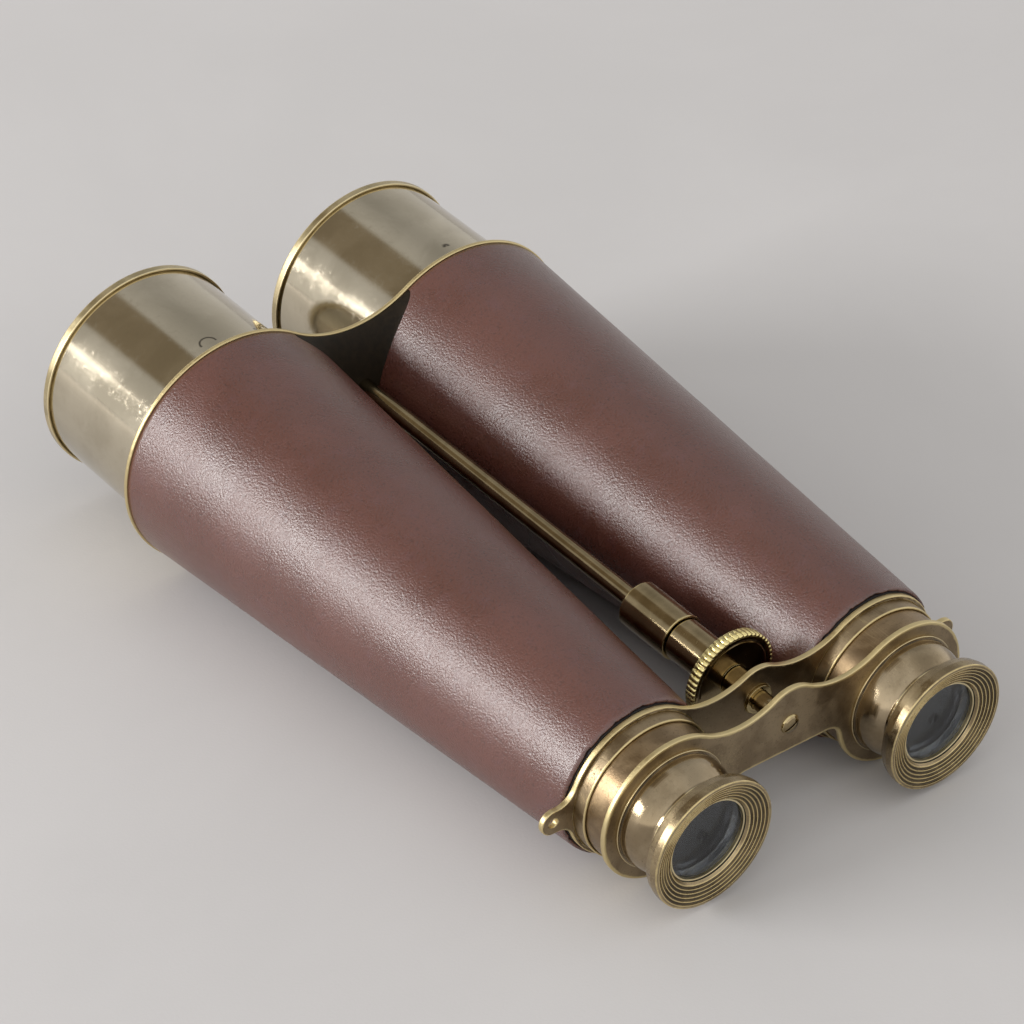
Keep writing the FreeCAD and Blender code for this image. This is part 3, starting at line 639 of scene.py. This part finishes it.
# %% Sunshade rims
for side, x in SIDES:
    turned(side + "_shade_rim", [
        (23.5, 197.9, 0), (23.5, 197.5, 0.05), (24.55, 197.5, 0.02), (24.55, 196.75, 0.1),
        (24.9, 196.4, 0.1), (25.26, 196.4, 0.2), (25.26, 198.3, 0.45), (23.5, 198.3, 0.25)],
        side + "_sunshade", "rim_brass", x, segments=192, fade=0.25)

# %% [markdown]
# Each draw tube slides in a collar that is soldered into the inner bridge. The collar's mouth is
# rolled over into a thin bright lip.

# %% Draw tubes and collars
for side, x in SIDES:
    turned(side + "_draw_tube", [
        (14.9, 30.0, 0), (14.9, 14.95), (15.6, 14.95), (15.6, 22.0, 0), (15.6, 30.0, 0), (15.6, 37.95),
        (14.9, 37.95)], "eyepiece_carriage", "draw_tube_bronze", x, lining_r=15.0)
    turned(side + "_draw_collar", [
        (15.65, 30.0, 0)] + bow((15.65, 20.7), (15.92, 20.4), (16.2, 20.7), 6) + [
        (16.2, 20.7, 0), (16.2, 23.4, 0.05), (16.2, 36.0), (15.65, 36.0)],
        "barrels", "bridge_bronze", x, fade=0.3)

# %% [markdown]
# The eyepiece housing is a bulb between a thin flange and a narrow neck. The bulb is one smooth
# arc, so its reflections run unbroken from side to side.

# %% Eyepiece housings
for side, x in SIDES:
    turned(side + "_eyepiece_housing", [
        (10.4, 12.0, 0), (10.4, 5.9), (11.2, 5.9, 0.05), (11.2, 6.5, 0.2)]
        + bow((11.2, 6.5), (12.85, 9.825), (13.1, 13.15), 14)[1:] + [
        (13.1, 13.15, 0.1), (13.7, 13.15, 0.15), (13.7, 13.7, 0.1), (12.4, 13.7), (12.4, 20.0),
        (10.4, 20.0)],
        "eyepiece_carriage", "eyepiece_bronze", x, segments=176, fade=0.35, lining_r=10.5)

# %% [markdown]
# The eyecup is a flared disc. Its dished face carries five shallow round grooves with a narrow
# ridge between each pair; they are turned from the same outline, groove by groove.

# %% Eyecups
def dished_face(inner=10.1, outer=14.0, depth=1.2, grooves=5, groove_depth=0.4):
    pitch = (outer - inner) / grooves
    fall = depth / (outer - inner)
    face = [(inner, depth, 0.05)]
    for groove in range(grooves):
        near = inner + pitch * (groove + 0.24)
        far = inner + pitch * (groove + 0.98)
        near_y, far_y = depth - fall * (near - inner), depth - fall * (far - inner)
        middle = ((near + far) / 2, (near_y + far_y) / 2 + groove_depth)
        face.append((near, near_y, 0.04))
        face += bow((near, near_y), middle, (far, far_y), 6)[1:]
        face.append((far, far_y, 0.04))
    return face


for side, x in SIDES:
    turned(side + "_eyecup", [(9.6, 6.0, 0), (9.6, 1.7, 0.1)] + dished_face() + [
        (14.2, 0.02, 0.05), (14.85, 0.02, 0.5), (14.9, 1.8, 0.5), (14.4, 3.6, 0.3), (11.2, 5.9, 0.2),
        (10.3, 5.9, 0.05), (10.3, 8.2), (9.6, 8.2)],
        "eyepiece_carriage", "eyecup_brass", x, segments=176, fade=0.16, lining_r=9.62)

# %% Eye lens rings
for side, x in SIDES:
    turned(side + "_eye_lens_ring", [
        (9.15, 2.4, 0), (9.15, 1.9, 0.12), (9.55, 1.9, 0.12), (9.55, 2.8, 0.05), (9.15, 2.8, 0.05)],
        "eyepiece_carriage", "rim_brass", x, fade=0.2)

# %% [markdown]
# The focusing gear is a row of turned pieces on one axis between the barrels: the spindle that the
# eyepiece bridge hangs on, the bush it slides through, the wheel's long hub, and the sleeve and
# rod that run on to the objective end.

# %% Focusing gear
turned("focus_spindle", [
    (1.2, 17.0, 0), (1.2, 14.95), (3.1, 14.95), (3.1, 15.95, 0.15), (2.2, 15.95, 0.1),
    (2.2, 19.0, 0), (2.2, 23.0, 0), (2.2, 54.5), (0.02, 54.5, 0), (0.02, 20.95, 0), (1.2, 20.95, 0)],
    "eyepiece_carriage", "focus_brass", 0, FOCUS_Z, segments=96)
turned("spindle_bush", [
    (2.25, 26.0, 0), (2.25, 22.9), (3.3, 22.9, 0), (3.3, 30.7), (2.25, 30.7)],
    "barrels", "focus_brass", 0, FOCUS_Z, segments=96)
turned("wheel_hub", [
    (2.25, 40.0, 0), (2.25, 31.0), (3.4, 31.0), (3.4, 33.5), (4.75, 33.5, 0.1), (4.75, 40.0, 0),
    (4.75, 46.8, 0.3), (2.25, 46.8)],
    "focus_wheel", "focus_brass", 0, FOCUS_Z, segments=112)
turned("rod_sleeve", [
    (2.8, 50.0, 0), (2.8, 47.1), (5.3, 47.1, 0.3), (5.3, 52.0, 0), (5.3, 61.0, 0.3), (2.1, 61.0, 0.05),
    (2.1, 59.4), (2.8, 59.4)],
    "barrels", "focus_brass", 0, FOCUS_Z, segments=112)
turned("focus_rod", [
    (0.02, 100.0, 0), (0.02, 59.4, 0), (2.1, 59.4), (2.1, 80.0, 0), (2.1, 100.0, 0), (2.1, 120.0, 0),
    (2.1, 140.0, 0), (2.1, 158.5), (0.02, 158.5, 0)],
    "barrels", "focus_brass", 0, FOCUS_Z, segments=64)

# %% [markdown]
# The plates are cut from sheet, so their outline is everything. Each plate's solid part already has
# the right outline, and this helper reads it from there: the boundary of the faces that lie in
# the plate's front plane, walked edge by edge into closed loops and spaced evenly.

# %% Helper: a plate's outline
def outline_loops(name, y_front, step=0.5):
    mesh = frame["nodes"][name].data
    spots = unplace([corner.co for corner in mesh.vertices])
    keys = [tuple(spot) for spot in np.round(spots, 2)]
    mesh.calc_loop_triangles()
    ahead = set()
    for triangle in mesh.loop_triangles:
        ring = [keys[corner] for corner in triangle.vertices]
        if all(abs(corner[1] - y_front) < 0.02 for corner in ring):
            ahead |= {(ring[0], ring[1]), (ring[1], ring[2]), (ring[2], ring[0])}
    follow = {first: second for first, second in ahead if (second, first) not in ahead}
    loops = []
    while follow:
        first, spot = next(iter(sorted(follow.items())))
        loop = [first]
        while spot != first:
            loop.append(spot)
            spot = follow.pop(spot)
        follow.pop(first)
        loops.append(even_loop(np.array(loop)[:, [0, 2]], step))
    return sorted(loops, key=len, reverse=True)


def even_loop(loop, step):
    closed = np.vstack([loop, loop[:1]])
    reach = np.concatenate([[0], np.cumsum(np.hypot(*np.diff(closed, axis=0).T))])
    count = max(40, int(reach[-1] / step))
    stops = np.linspace(0, reach[-1], count, endpoint=False)
    return np.column_stack([np.interp(stops, reach, closed[:, axis]) for axis in (0, 1)])


print("end plate loops:", [len(loop) for loop in outline_loops("objective_end_plate", 160.8)])

# %% [markdown]
# From each loop a stack of rings makes the plate's rim: a band on the front face, a rounded front
# edge, the side, a rounded back edge and a band on the back face. The bands exist only to carry
# the wear attribute, full on the rounding and fading to nothing towards the face.

# %% Helper: a plate with rounded edges
def sheet_plate(name, y_front, thick, body, slot, bevel, band, z_lift=0.0):
    loops = outline_loops(name, y_front)
    half = [(band, 0.0, 0.0), (band * 0.55, 0.0, 0.35), (bevel * 1.3, 0.0, 0.8)]
    for angle in (0, 22.5, 45, 67.5, 90):
        turn = math.radians(angle)
        half.append((bevel * (1 - math.sin(turn)), bevel * (1 - math.cos(turn)), 1.0))
    far_half = [(inset, thick - y, wear) for inset, y, wear in reversed(half)]
    rings = half + [(0.0, thick / 2, 0.75)] + far_half
    points, faces, wear, caps = [], [], [], []
    for loop in loops:
        count = len(loop)
        run = np.roll(loop, -1, axis=0) - np.roll(loop, 1, axis=0)
        run /= np.hypot(run[:, 0], run[:, 1])[:, None]
        inward = np.column_stack([-run[:, 1], run[:, 0]])
        squeeze = 1.0 if count > 60 else min(1.0, 0.45 / band)
        base = len(points)
        for inset, y, mark in rings:
            inset = inset * squeeze if inset > bevel * 1.35 else inset
            flat = loop + inward * inset
            points += [(a, y_front + y, b) for a, b in flat]
            wear += [mark] * count
        faces += bands(len(rings), count, base)
        caps.append((base, base + (len(rings) - 1) * count, count))
    for which in (0, 1):
        owners = [cap[which] + i for cap in caps for i in range(cap[2])]
        flats = [[Vector(points[cap[which] + i]).xz for i in range(cap[2])] for cap in caps]
        faces += [tuple(owners[corner] for corner in triangle) for triangle in tessellate_polygon(flats)]
    made = piece(name, points, faces, body, slot, {"wear": wear}, (name,))
    print(name, len(loops), "loops,", len(made.data.polygons), "faces")


# %% Plates
sheet_plate("objective_end_plate", 160.8, 1.0, "barrels", "bridge_bronze", 0.28, 1.2)
sheet_plate("inner_bridge_plate", 23.5, 1.3, "barrels", "bridge_bronze", 0.22, 0.42)
sheet_plate("outer_bridge_plate", 13.7, 1.25, "eyepiece_carriage", "bridge_bronze", 0.3, 1.4)

# %% [markdown]
# A round-headed screw ties the eyepiece bridge to the spindle. Its domed head is spun, and the
# slot is then cut across it with a boolean, the way a saw cuts the real one.

# %% Spindle screw
screw = turned("spindle_screw", [
    (0.02, 16.0, 0), (0.02, 12.8, 0), (1.0, 12.86, 0), (1.7, 13.05, 0), (2.15, 13.4, 0.1),
    (2.3, 13.7, 0.05), (1.2, 13.7, 0.02), (1.2, 20.65), (0.02, 20.65, 0)],
    "eyepiece_carriage", "focus_brass", 0, FOCUS_Z, segments=64, fade=0.25)
SLOT_HALF_WIDTH = 0.27
SLOT_TURN = math.radians(28)
saw = bpy.data.meshes.new("saw cut")
low, high = (-3.0, 12.3, FOCUS_Z - SLOT_HALF_WIDTH), (3.0, 13.3, FOCUS_Z + SLOT_HALF_WIDTH)
saw_points = [(a, b, c) for a in (low[0], high[0]) for b in (low[1], high[1])
              for c in (low[2], high[2])]
saw_faces = [(0, 1, 3, 2), (4, 6, 7, 5), (0, 4, 5, 1), (2, 3, 7, 6), (0, 2, 6, 4), (1, 5, 7, 3)]
lean, rise = math.cos(SLOT_TURN), math.sin(SLOT_TURN)
saw_points = [(x * lean - (z - FOCUS_Z) * rise, y, FOCUS_Z + x * rise + (z - FOCUS_Z) * lean)
              for x, y, z in saw_points]
saw.from_pydata(place(saw_points).tolist(), [], saw_faces)
cutter = show("saw cut", saw)
slot_cut = screw.modifiers.new("slot", "BOOLEAN")
slot_cut.object = cutter
slot_cut.operation = "DIFFERENCE"
slot_cut.solver = "EXACT"
bpy.context.view_layer.update()
cut_mesh = bpy.data.meshes.new_from_object(screw.evaluated_get(bpy.context.evaluated_depsgraph_get()))
screw.modifiers.clear()
screw.data = cut_mesh
bpy.data.objects.remove(cutter)
print("screw head cut:", len(cut_mesh.polygons), "faces")

# %% [markdown]
# The focus wheel is knurled with straight teeth so that a finger can drag it. Anything repeated
# fifty-two times around a circle is work for Geometry Nodes: points are laid on the circle, one
# rounded tooth is instanced on each, turned to face outwards, and the result is made one mesh.

# %% The pattern tooth
tooth = bpy.data.meshes.new("tooth")
block = bmesh.new()
bmesh.ops.create_cube(block, size=1.0)
for corner in block.verts:
    wide = 1.1 if corner.co.x > 0 else 1.22
    corner.co = Vector((corner.co.x * 0.75, corner.co.y * 2.46, corner.co.z * wide))
bmesh.ops.bevel(block, geom=[edge for edge in block.edges if max(v.co.x for v in edge.verts) > 0.3],
                offset=0.07, segments=2, affect="EDGES")
for face in block.faces:
    face.smooth = True
block.to_mesh(tooth)
block.free()
tooth.attributes.new("wear", "FLOAT", "POINT").data.foreach_set(
    "value", [1.0 if corner.co.x > 0.2 else -0.6 for corner in tooth.vertices])
pattern_tooth = show("pattern tooth", tooth)
print("tooth:", len(tooth.polygons), "faces")


# %% Helper: a node-built mesh
def geometry_tree(name, inputs):
    tree = bpy.data.node_groups.new(name, "GeometryNodeTree")
    for label, (kind, value) in inputs.items():
        socket = tree.interface.new_socket(
            name=label, in_out="INPUT", socket_type="NodeSocket" + kind)
        if value is not None:
            socket.default_value = value
    tree.interface.new_socket(name="Geometry", in_out="OUTPUT", socket_type="NodeSocketGeometry")
    return tree, tree.nodes.new("NodeGroupInput").outputs, tree.nodes.new("NodeGroupOutput").inputs


def grow(tree, values, wall=0.0):
    """The tree's result as a plain mesh, with its named inputs set, and a wall thickness if asked."""
    blank = show("blank", bpy.data.meshes.new("blank"))
    grower = blank.modifiers.new("grow", "NODES")
    grower.node_group = tree
    for socket in tree.interface.items_tree:
        if socket.in_out == "INPUT" and socket.name in values:
            grower[socket.identifier] = values[socket.name]
    if wall:
        shell = blank.modifiers.new("wall", "SOLIDIFY")
        shell.thickness, shell.offset = wall, -1.0
    bpy.context.view_layer.update()
    mesh = bpy.data.meshes.new_from_object(blank.evaluated_get(bpy.context.evaluated_depsgraph_get()))
    bpy.data.objects.remove(blank)
    return mesh


def adopt(mesh, name, body, slot, stands_for=()):
    """A finished piece from a mesh in the maker's millimetres, keeping its attributes."""
    spots = np.zeros(len(mesh.vertices) * 3)
    mesh.vertices.foreach_get("co", spots)
    mesh.vertices.foreach_set("co", place(spots).ravel())
    mesh.update()
    mesh.name = name
    mesh.materials.clear()
    mesh.materials.append(FINISHES[slot])
    made = show(name, mesh)
    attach(made, body)
    if stands_for:
        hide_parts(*stands_for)
    print(name, len(mesh.polygons), "faces")


print("geometry helpers ready")

# %% Focus wheel: teeth on a circle
knurl, given, result = geometry_tree("knurled edge", {
    "Teeth": ("Int", 52), "Radius": ("Float", 10.23), "Middle": ("Float", 32.25),
    "Height": ("Float", FOCUS_Z), "Tooth": ("Object", None), "Finish": ("Material", None)})
spots = add(knurl, "GeometryNodePoints", {"Count": given["Teeth"]})
share = sum_up(knurl, "DIVIDE", out(knurl, "GeometryNodeInputIndex"), given["Teeth"])
angle = times(knurl, share, math.tau)
across = times(knurl, sum_up(knurl, "COSINE", angle), given["Radius"])
rise = times(knurl, sum_up(knurl, "SINE", angle), given["Radius"])
spot = out(knurl, "ShaderNodeCombineXYZ", {"X": across, "Y": given["Middle"],
                                           "Z": plus(knurl, rise, given["Height"])})
ring = out(knurl, "GeometryNodeSetPosition", {"Geometry": spots.outputs[0], "Position": spot})
facing = out(knurl, "ShaderNodeCombineXYZ", {"Y": times(knurl, angle, -1.0)})
pattern = add(knurl, "GeometryNodeObjectInfo", {"Object": given["Tooth"]}).outputs["Geometry"]
teeth = out(knurl, "GeometryNodeInstanceOnPoints", {"Points": ring, "Instance": pattern,
                                                    "Rotation": facing})
solid = out(knurl, "GeometryNodeRealizeInstances", {"Geometry": teeth})
coated = out(knurl, "GeometryNodeSetMaterial", {
    "Geometry": solid, "Material": given["Finish"]})
knurl.links.new(coated, result["Geometry"])
knurled = grow(knurl, {"Tooth": pattern_tooth, "Finish": FINISHES["wheel_brass"]})
adopt(knurled, "wheel_teeth", "focus_wheel", "wheel_brass")
bpy.data.objects.remove(pattern_tooth)

# %% Focus wheel: disc
turned("focus_wheel", [
    (3.4, 32.0, 0), (3.4, 31.0), (8.6, 31.0, 0.1), (8.9, 31.12, 0.1), (9.3, 31.0, 0.1),
    (9.98, 31.0, 0.2), (10.3, 31.3, 0.1), (10.3, 33.2, 0.1), (9.98, 33.5, 0.2), (9.3, 33.5, 0.1),
    (8.9, 33.38, 0.1), (8.6, 33.5, 0.1), (3.4, 33.5)], "focus_wheel", "focus_brass", 0, FOCUS_Z, segments=156, fade=0.3)

# %% [markdown]
# The leather cover is the object's largest surface and follows one rule: a tube whose radius grows
# evenly from the eyepiece end to the objective end. A flat grid is rolled up by Geometry Nodes,
# and its radius is let in a few hundredths of a millimetre by slow noise. At the small end the
# edge is rolled down, ragged and darker. A wall is added to the inside afterwards.

# %% Leather covers
COVER = {"Start": 25.0, "End": 160.6, "Small Radius": 18.07, "Large Radius": 28.3}
COVER_WALL = 0.75
cover, given, result = geometry_tree("leather cover", {
    **{label: ("Float", value) for label, value in COVER.items()},
    "Around": ("Int", 224), "Rows": ("Int", 160), "Side": ("Float", 0.0), "Ripple": ("Float", 0.09),
    "Raggedness": ("Float", 0.35), "Finish": ("Material", None)})
sheet = add(cover, "GeometryNodeMeshGrid", {"Size X": 1.0, "Size Y": 1.0, "Vertices X": given["Around"],
                                            "Vertices Y": given["Rows"]}).outputs["Mesh"]
flat = add(cover, "ShaderNodeSeparateXYZ", {0: out(cover, "GeometryNodeInputPosition")}).outputs
angle = times(cover, plus(cover, flat["X"], 0.5), math.tau)
share = plus(cover, flat["Y"], 0.5)
length = minus(cover, given["End"], given["Start"])
from_start = times(cover, share, length)
growth = minus(cover, given["Large Radius"], given["Small Radius"])
radius = plus(cover, given["Small Radius"], times(cover, share, growth))
reach = plus(cover, given["Start"], from_start)
lean_x, lean_z = sum_up(cover, "COSINE", angle), sum_up(cover, "SINE", angle)
even = out(cover, "ShaderNodeCombineXYZ", {"X": times(cover, lean_x, radius), "Y": reach,
                                           "Z": times(cover, lean_z, radius)})
moved = out(cover, "ShaderNodeVectorMath", {0: even, 1: (50.0, 0.0, 9.0)}, operation="ADD")
slow = soft_noise(cover, moved, 0.09)
radius = minus(cover, radius, times(cover, slow, given["Ripple"]))
roll = between(cover, from_start, 0.0, 0.5, 0.15, 0.0)
radius = minus(cover, radius, roll)
torn = between(cover, soft_noise(cover, even, 0.55, 4.0), 0.45, 0.7)
torn = times(cover, torn, between(cover, from_start, 0.0, 1.6, 1.0, 0.0))
reach = plus(cover, reach, times(cover, torn, given["Raggedness"]))
rolled_x = plus(cover, given["Side"], times(cover, lean_x, radius))
rolled = out(cover, "ShaderNodeCombineXYZ", {"X": rolled_x, "Y": reach,
                                             "Z": times(cover, lean_z, radius)})
dark = between(cover, from_start, 0.0, 0.85, 0.48, 0.0)
dark = times(cover, dark, between(cover, torn, 0.0, 0.3, 0.5, 1.0))
tube = out(cover, "GeometryNodeStoreNamedAttribute", {"Geometry": sheet, "Name": "cut", "Value": dark},
           data_type="FLOAT", domain="POINT")
for step, sockets in (
        ("SetPosition", {"Position": rolled}), ("MergeByDistance", {"Distance": 0.001}),
        ("FlipFaces", {}), ("SetShadeSmooth", {}), ("SetMaterial", {"Material": given["Finish"]})):
    tube = out(cover, "GeometryNode" + step, {0: tube, **sockets})
cover.links.new(tube, result["Geometry"])
for side, x in SIDES:
    skin = grow(cover, {"Side": x, "Finish": leather}, wall=COVER_WALL)
    adopt(skin, side + "_leather_cover", "barrels", "leather", (side + "_leather_cover",))

# %% [markdown]
# Between the barrels, just behind the end plate, the leather runs over a filled saddle, so the two
# tubes look like one skin. Seen along the barrels, each slice of that skin is an arc that touches
# both circles, above and below. The dip between the barrels gets deeper with distance from the
# plate until the two arcs meet, so the saddle is a short family of such slices.

# %% Saddle between the barrels
WEB_START, WEB_END = 154.8, 160.6
WEB_SLICES = 25


def cover_radius(y):
    share = (y - COVER["Start"]) / (COVER["End"] - COVER["Start"])
    return COVER["Small Radius"] + (COVER["Large Radius"] - COVER["Small Radius"]) * share


def saddle_slice(swing):
    """One closed slice. The swing is 0 at the saddle's back and a quarter turn at the plate."""
    y = WEB_START + (WEB_END - WEB_START) * (1 - math.cos(swing))
    skin = cover_radius(y) - 0.03
    dip = 1.5 + 17.5 * math.sin(swing)
    bend = (EYE_X ** 2 + dip ** 2 - skin ** 2) / (2 * (skin - dip))
    spread = math.asin(EYE_X / (bend + skin))
    top = [(bend * math.sin(t), dip + bend - bend * math.cos(t))
           for t in np.linspace(-spread, spread, 49)]
    lean = math.pi / 2 + spread
    hug = [(EYE_X + (skin - 0.35) * math.cos(t), (skin - 0.35) * math.sin(t))
           for t in np.linspace(lean, math.tau - lean, 31)]
    bottom = [(x, -z) for x, z in reversed(top)]
    far_hug = [(-x, z) for x, z in reversed(hug)]
    return [(x, y, z) for x, z in top + hug + bottom + far_hug]


slices = [saddle_slice(swing) for swing in np.linspace(0, math.pi / 2, WEB_SLICES)]
per_slice = len(slices[0])
web_points = [spot for one in slices for spot in one]
last = (WEB_SLICES - 1) * per_slice
web_faces = [tuple(range(per_slice)), tuple(range(last, last + per_slice))]
web_faces += bands(WEB_SLICES, per_slice)
# The saddle gets the near-black finish, which paints the valley's shade into its colour.
piece("saddle_leather", web_points, web_faces, "barrels", "leather", {},
      ("saddle_leather", "saddle_block"), saddle_painted_shade)
print("saddle:", len(web_faces), "faces")

# %% [markdown]
# The table is a large pale grey sheet with a barely visible tooth. It isn't part of the object.

# %% Table
tabletop, tree, shader = new_finish("pale table")
patches = use_group(tree, mottling, Size=7.0, Low=0.3, High=0.7)
tone = mix(tree, patches["Patches"], paint(198, 196, 196), paint(203, 201, 201))
tree.links.new(tone, shader.inputs["Base Color"])
shader.inputs["Roughness"].default_value = 0.75
tooth_noise = soft_noise(tree, add(tree, "ShaderNodeTexCoord").outputs["Object"], 1400.0, 3.0)
bump = add(tree, "ShaderNodeBump", {"Height": tooth_noise, "Strength": 0.2, "Distance": 0.00012})
tree.links.new(bump.outputs[0], shader.inputs["Normal"])
sheet = bpy.data.meshes.new("table")
TABLE_REACH = 4
corners = [(a * TABLE_REACH, b * TABLE_REACH, 0) for a, b in ((-1, -1), (1, -1), (1, 1), (-1, 1))]
sheet.from_pydata(corners, [], [(0, 1, 2, 3)])
sheet.materials.append(tabletop)
table = show("table", sheet)
print("table ready")

# %% [markdown]
# The light is that of a white room with a wide, low window to the left of the glass and a little
# behind it. It draws the highlight along each barrel, leaves the flank between the barrels dark
# and throws a long soft shadow to the right. A second, much fainter pane stands further round. The
# walls are bright near the floor, dimmer overhead and brightest on the near side, and one dark
# beam under the ceiling gives the polished sunshades something to mirror.

# %% Light
middle = (Vector(cad_box[0]) + Vector(cad_box[1])) / 2
PANE_WIDTH = 1.2
PANE_DISTANCE = 1.88
DAYLIGHT = (1.0, 0.985, 0.97)


def softbox(name, toward, height, power):
    lamp = bpy.data.lights.new(name, "AREA")
    lamp.shape, lamp.size, lamp.size_y = "RECTANGLE", PANE_WIDTH, height
    lamp.energy, lamp.color = power, DAYLIGHT
    holder = show(name, lamp)
    holder.location = middle + Vector(toward).normalized() * PANE_DISTANCE
    holder.rotation_euler = Vector(toward).to_track_quat("Z", "Y").to_euler()


softbox("window", (-0.89, 0.36, 0.325), 0.47, 26.0)
softbox("window's far pane", (-0.43, 0.86, 0.3), 0.22, 1.7)
room = bpy.data.worlds.new("white room")
room.use_nodes = True
tree = room.node_tree
toward = add(tree, "ShaderNodeTexCoord").outputs["Generated"]
toward = add(tree, "ShaderNodeSeparateXYZ", {0: toward}).outputs
height_glow = between(tree, toward["Z"], 0.0, 0.8, 0.95, 0.55)
height_glow = times(tree, height_glow, between(tree, toward["X"], 0.1, 0.5, 1.0, 0.72))
height_glow = times(tree, height_glow, between(tree, toward["Y"], 0.1, 0.5, 1.6, 1.0))
beam = between(tree, toward["X"], -0.5, -0.44)
beam = times(tree, beam, between(tree, toward["X"], 0.04, 0.1, 1.0, 0.0))
beam = times(tree, beam, between(tree, toward["Z"], 0.5, 0.56))
beam = times(tree, beam, between(tree, toward["Y"], 0.1, 0.3))
walls = mix(tree, beam, (1.0, 0.99, 0.975, 1.0), (0.5, 0.42, 0.31, 1.0))
backdrop = tree.nodes["Background"]
tree.links.new(walls, backdrop.inputs["Color"])
tree.links.new(height_glow, backdrop.inputs["Strength"])
bpy.context.scene.world = room
print("lamps:", [lamp.name for lamp in bpy.data.lights])

# %% [markdown]
# The viewer stands behind the eyepieces and to the left, looking down by about a third of a right
# angle.
# A long lens keeps the barrels' taper close to its real proportion.

# %% Camera
HEADING = math.radians(38.55)
HEIGHT_ANGLE = math.radians(33.42)
VIEW_DISTANCE = 0.8927
level = math.cos(HEIGHT_ANGLE)
looking = Vector((math.sin(HEADING) * level, math.cos(HEADING) * level, -math.sin(HEIGHT_ANGLE)))
looked_at = Vector((7.96, 12.89, 20.0)) * MM
lens = bpy.data.cameras.new("viewer")
lens.lens, lens.sensor_width, lens.clip_start = 144.76, 36.0, 0.05
viewer = show("viewer", lens)
viewer.location = looked_at - looking * VIEW_DISTANCE
viewer.rotation_euler = looking.to_track_quat("-Z", "Y").to_euler()
bpy.context.scene.camera = viewer
bpy.context.scene.view_settings.view_transform = "Standard"
bpy.context.scene.view_settings.look = "None"
print("camera at", [round(v, 3) for v in viewer.location])
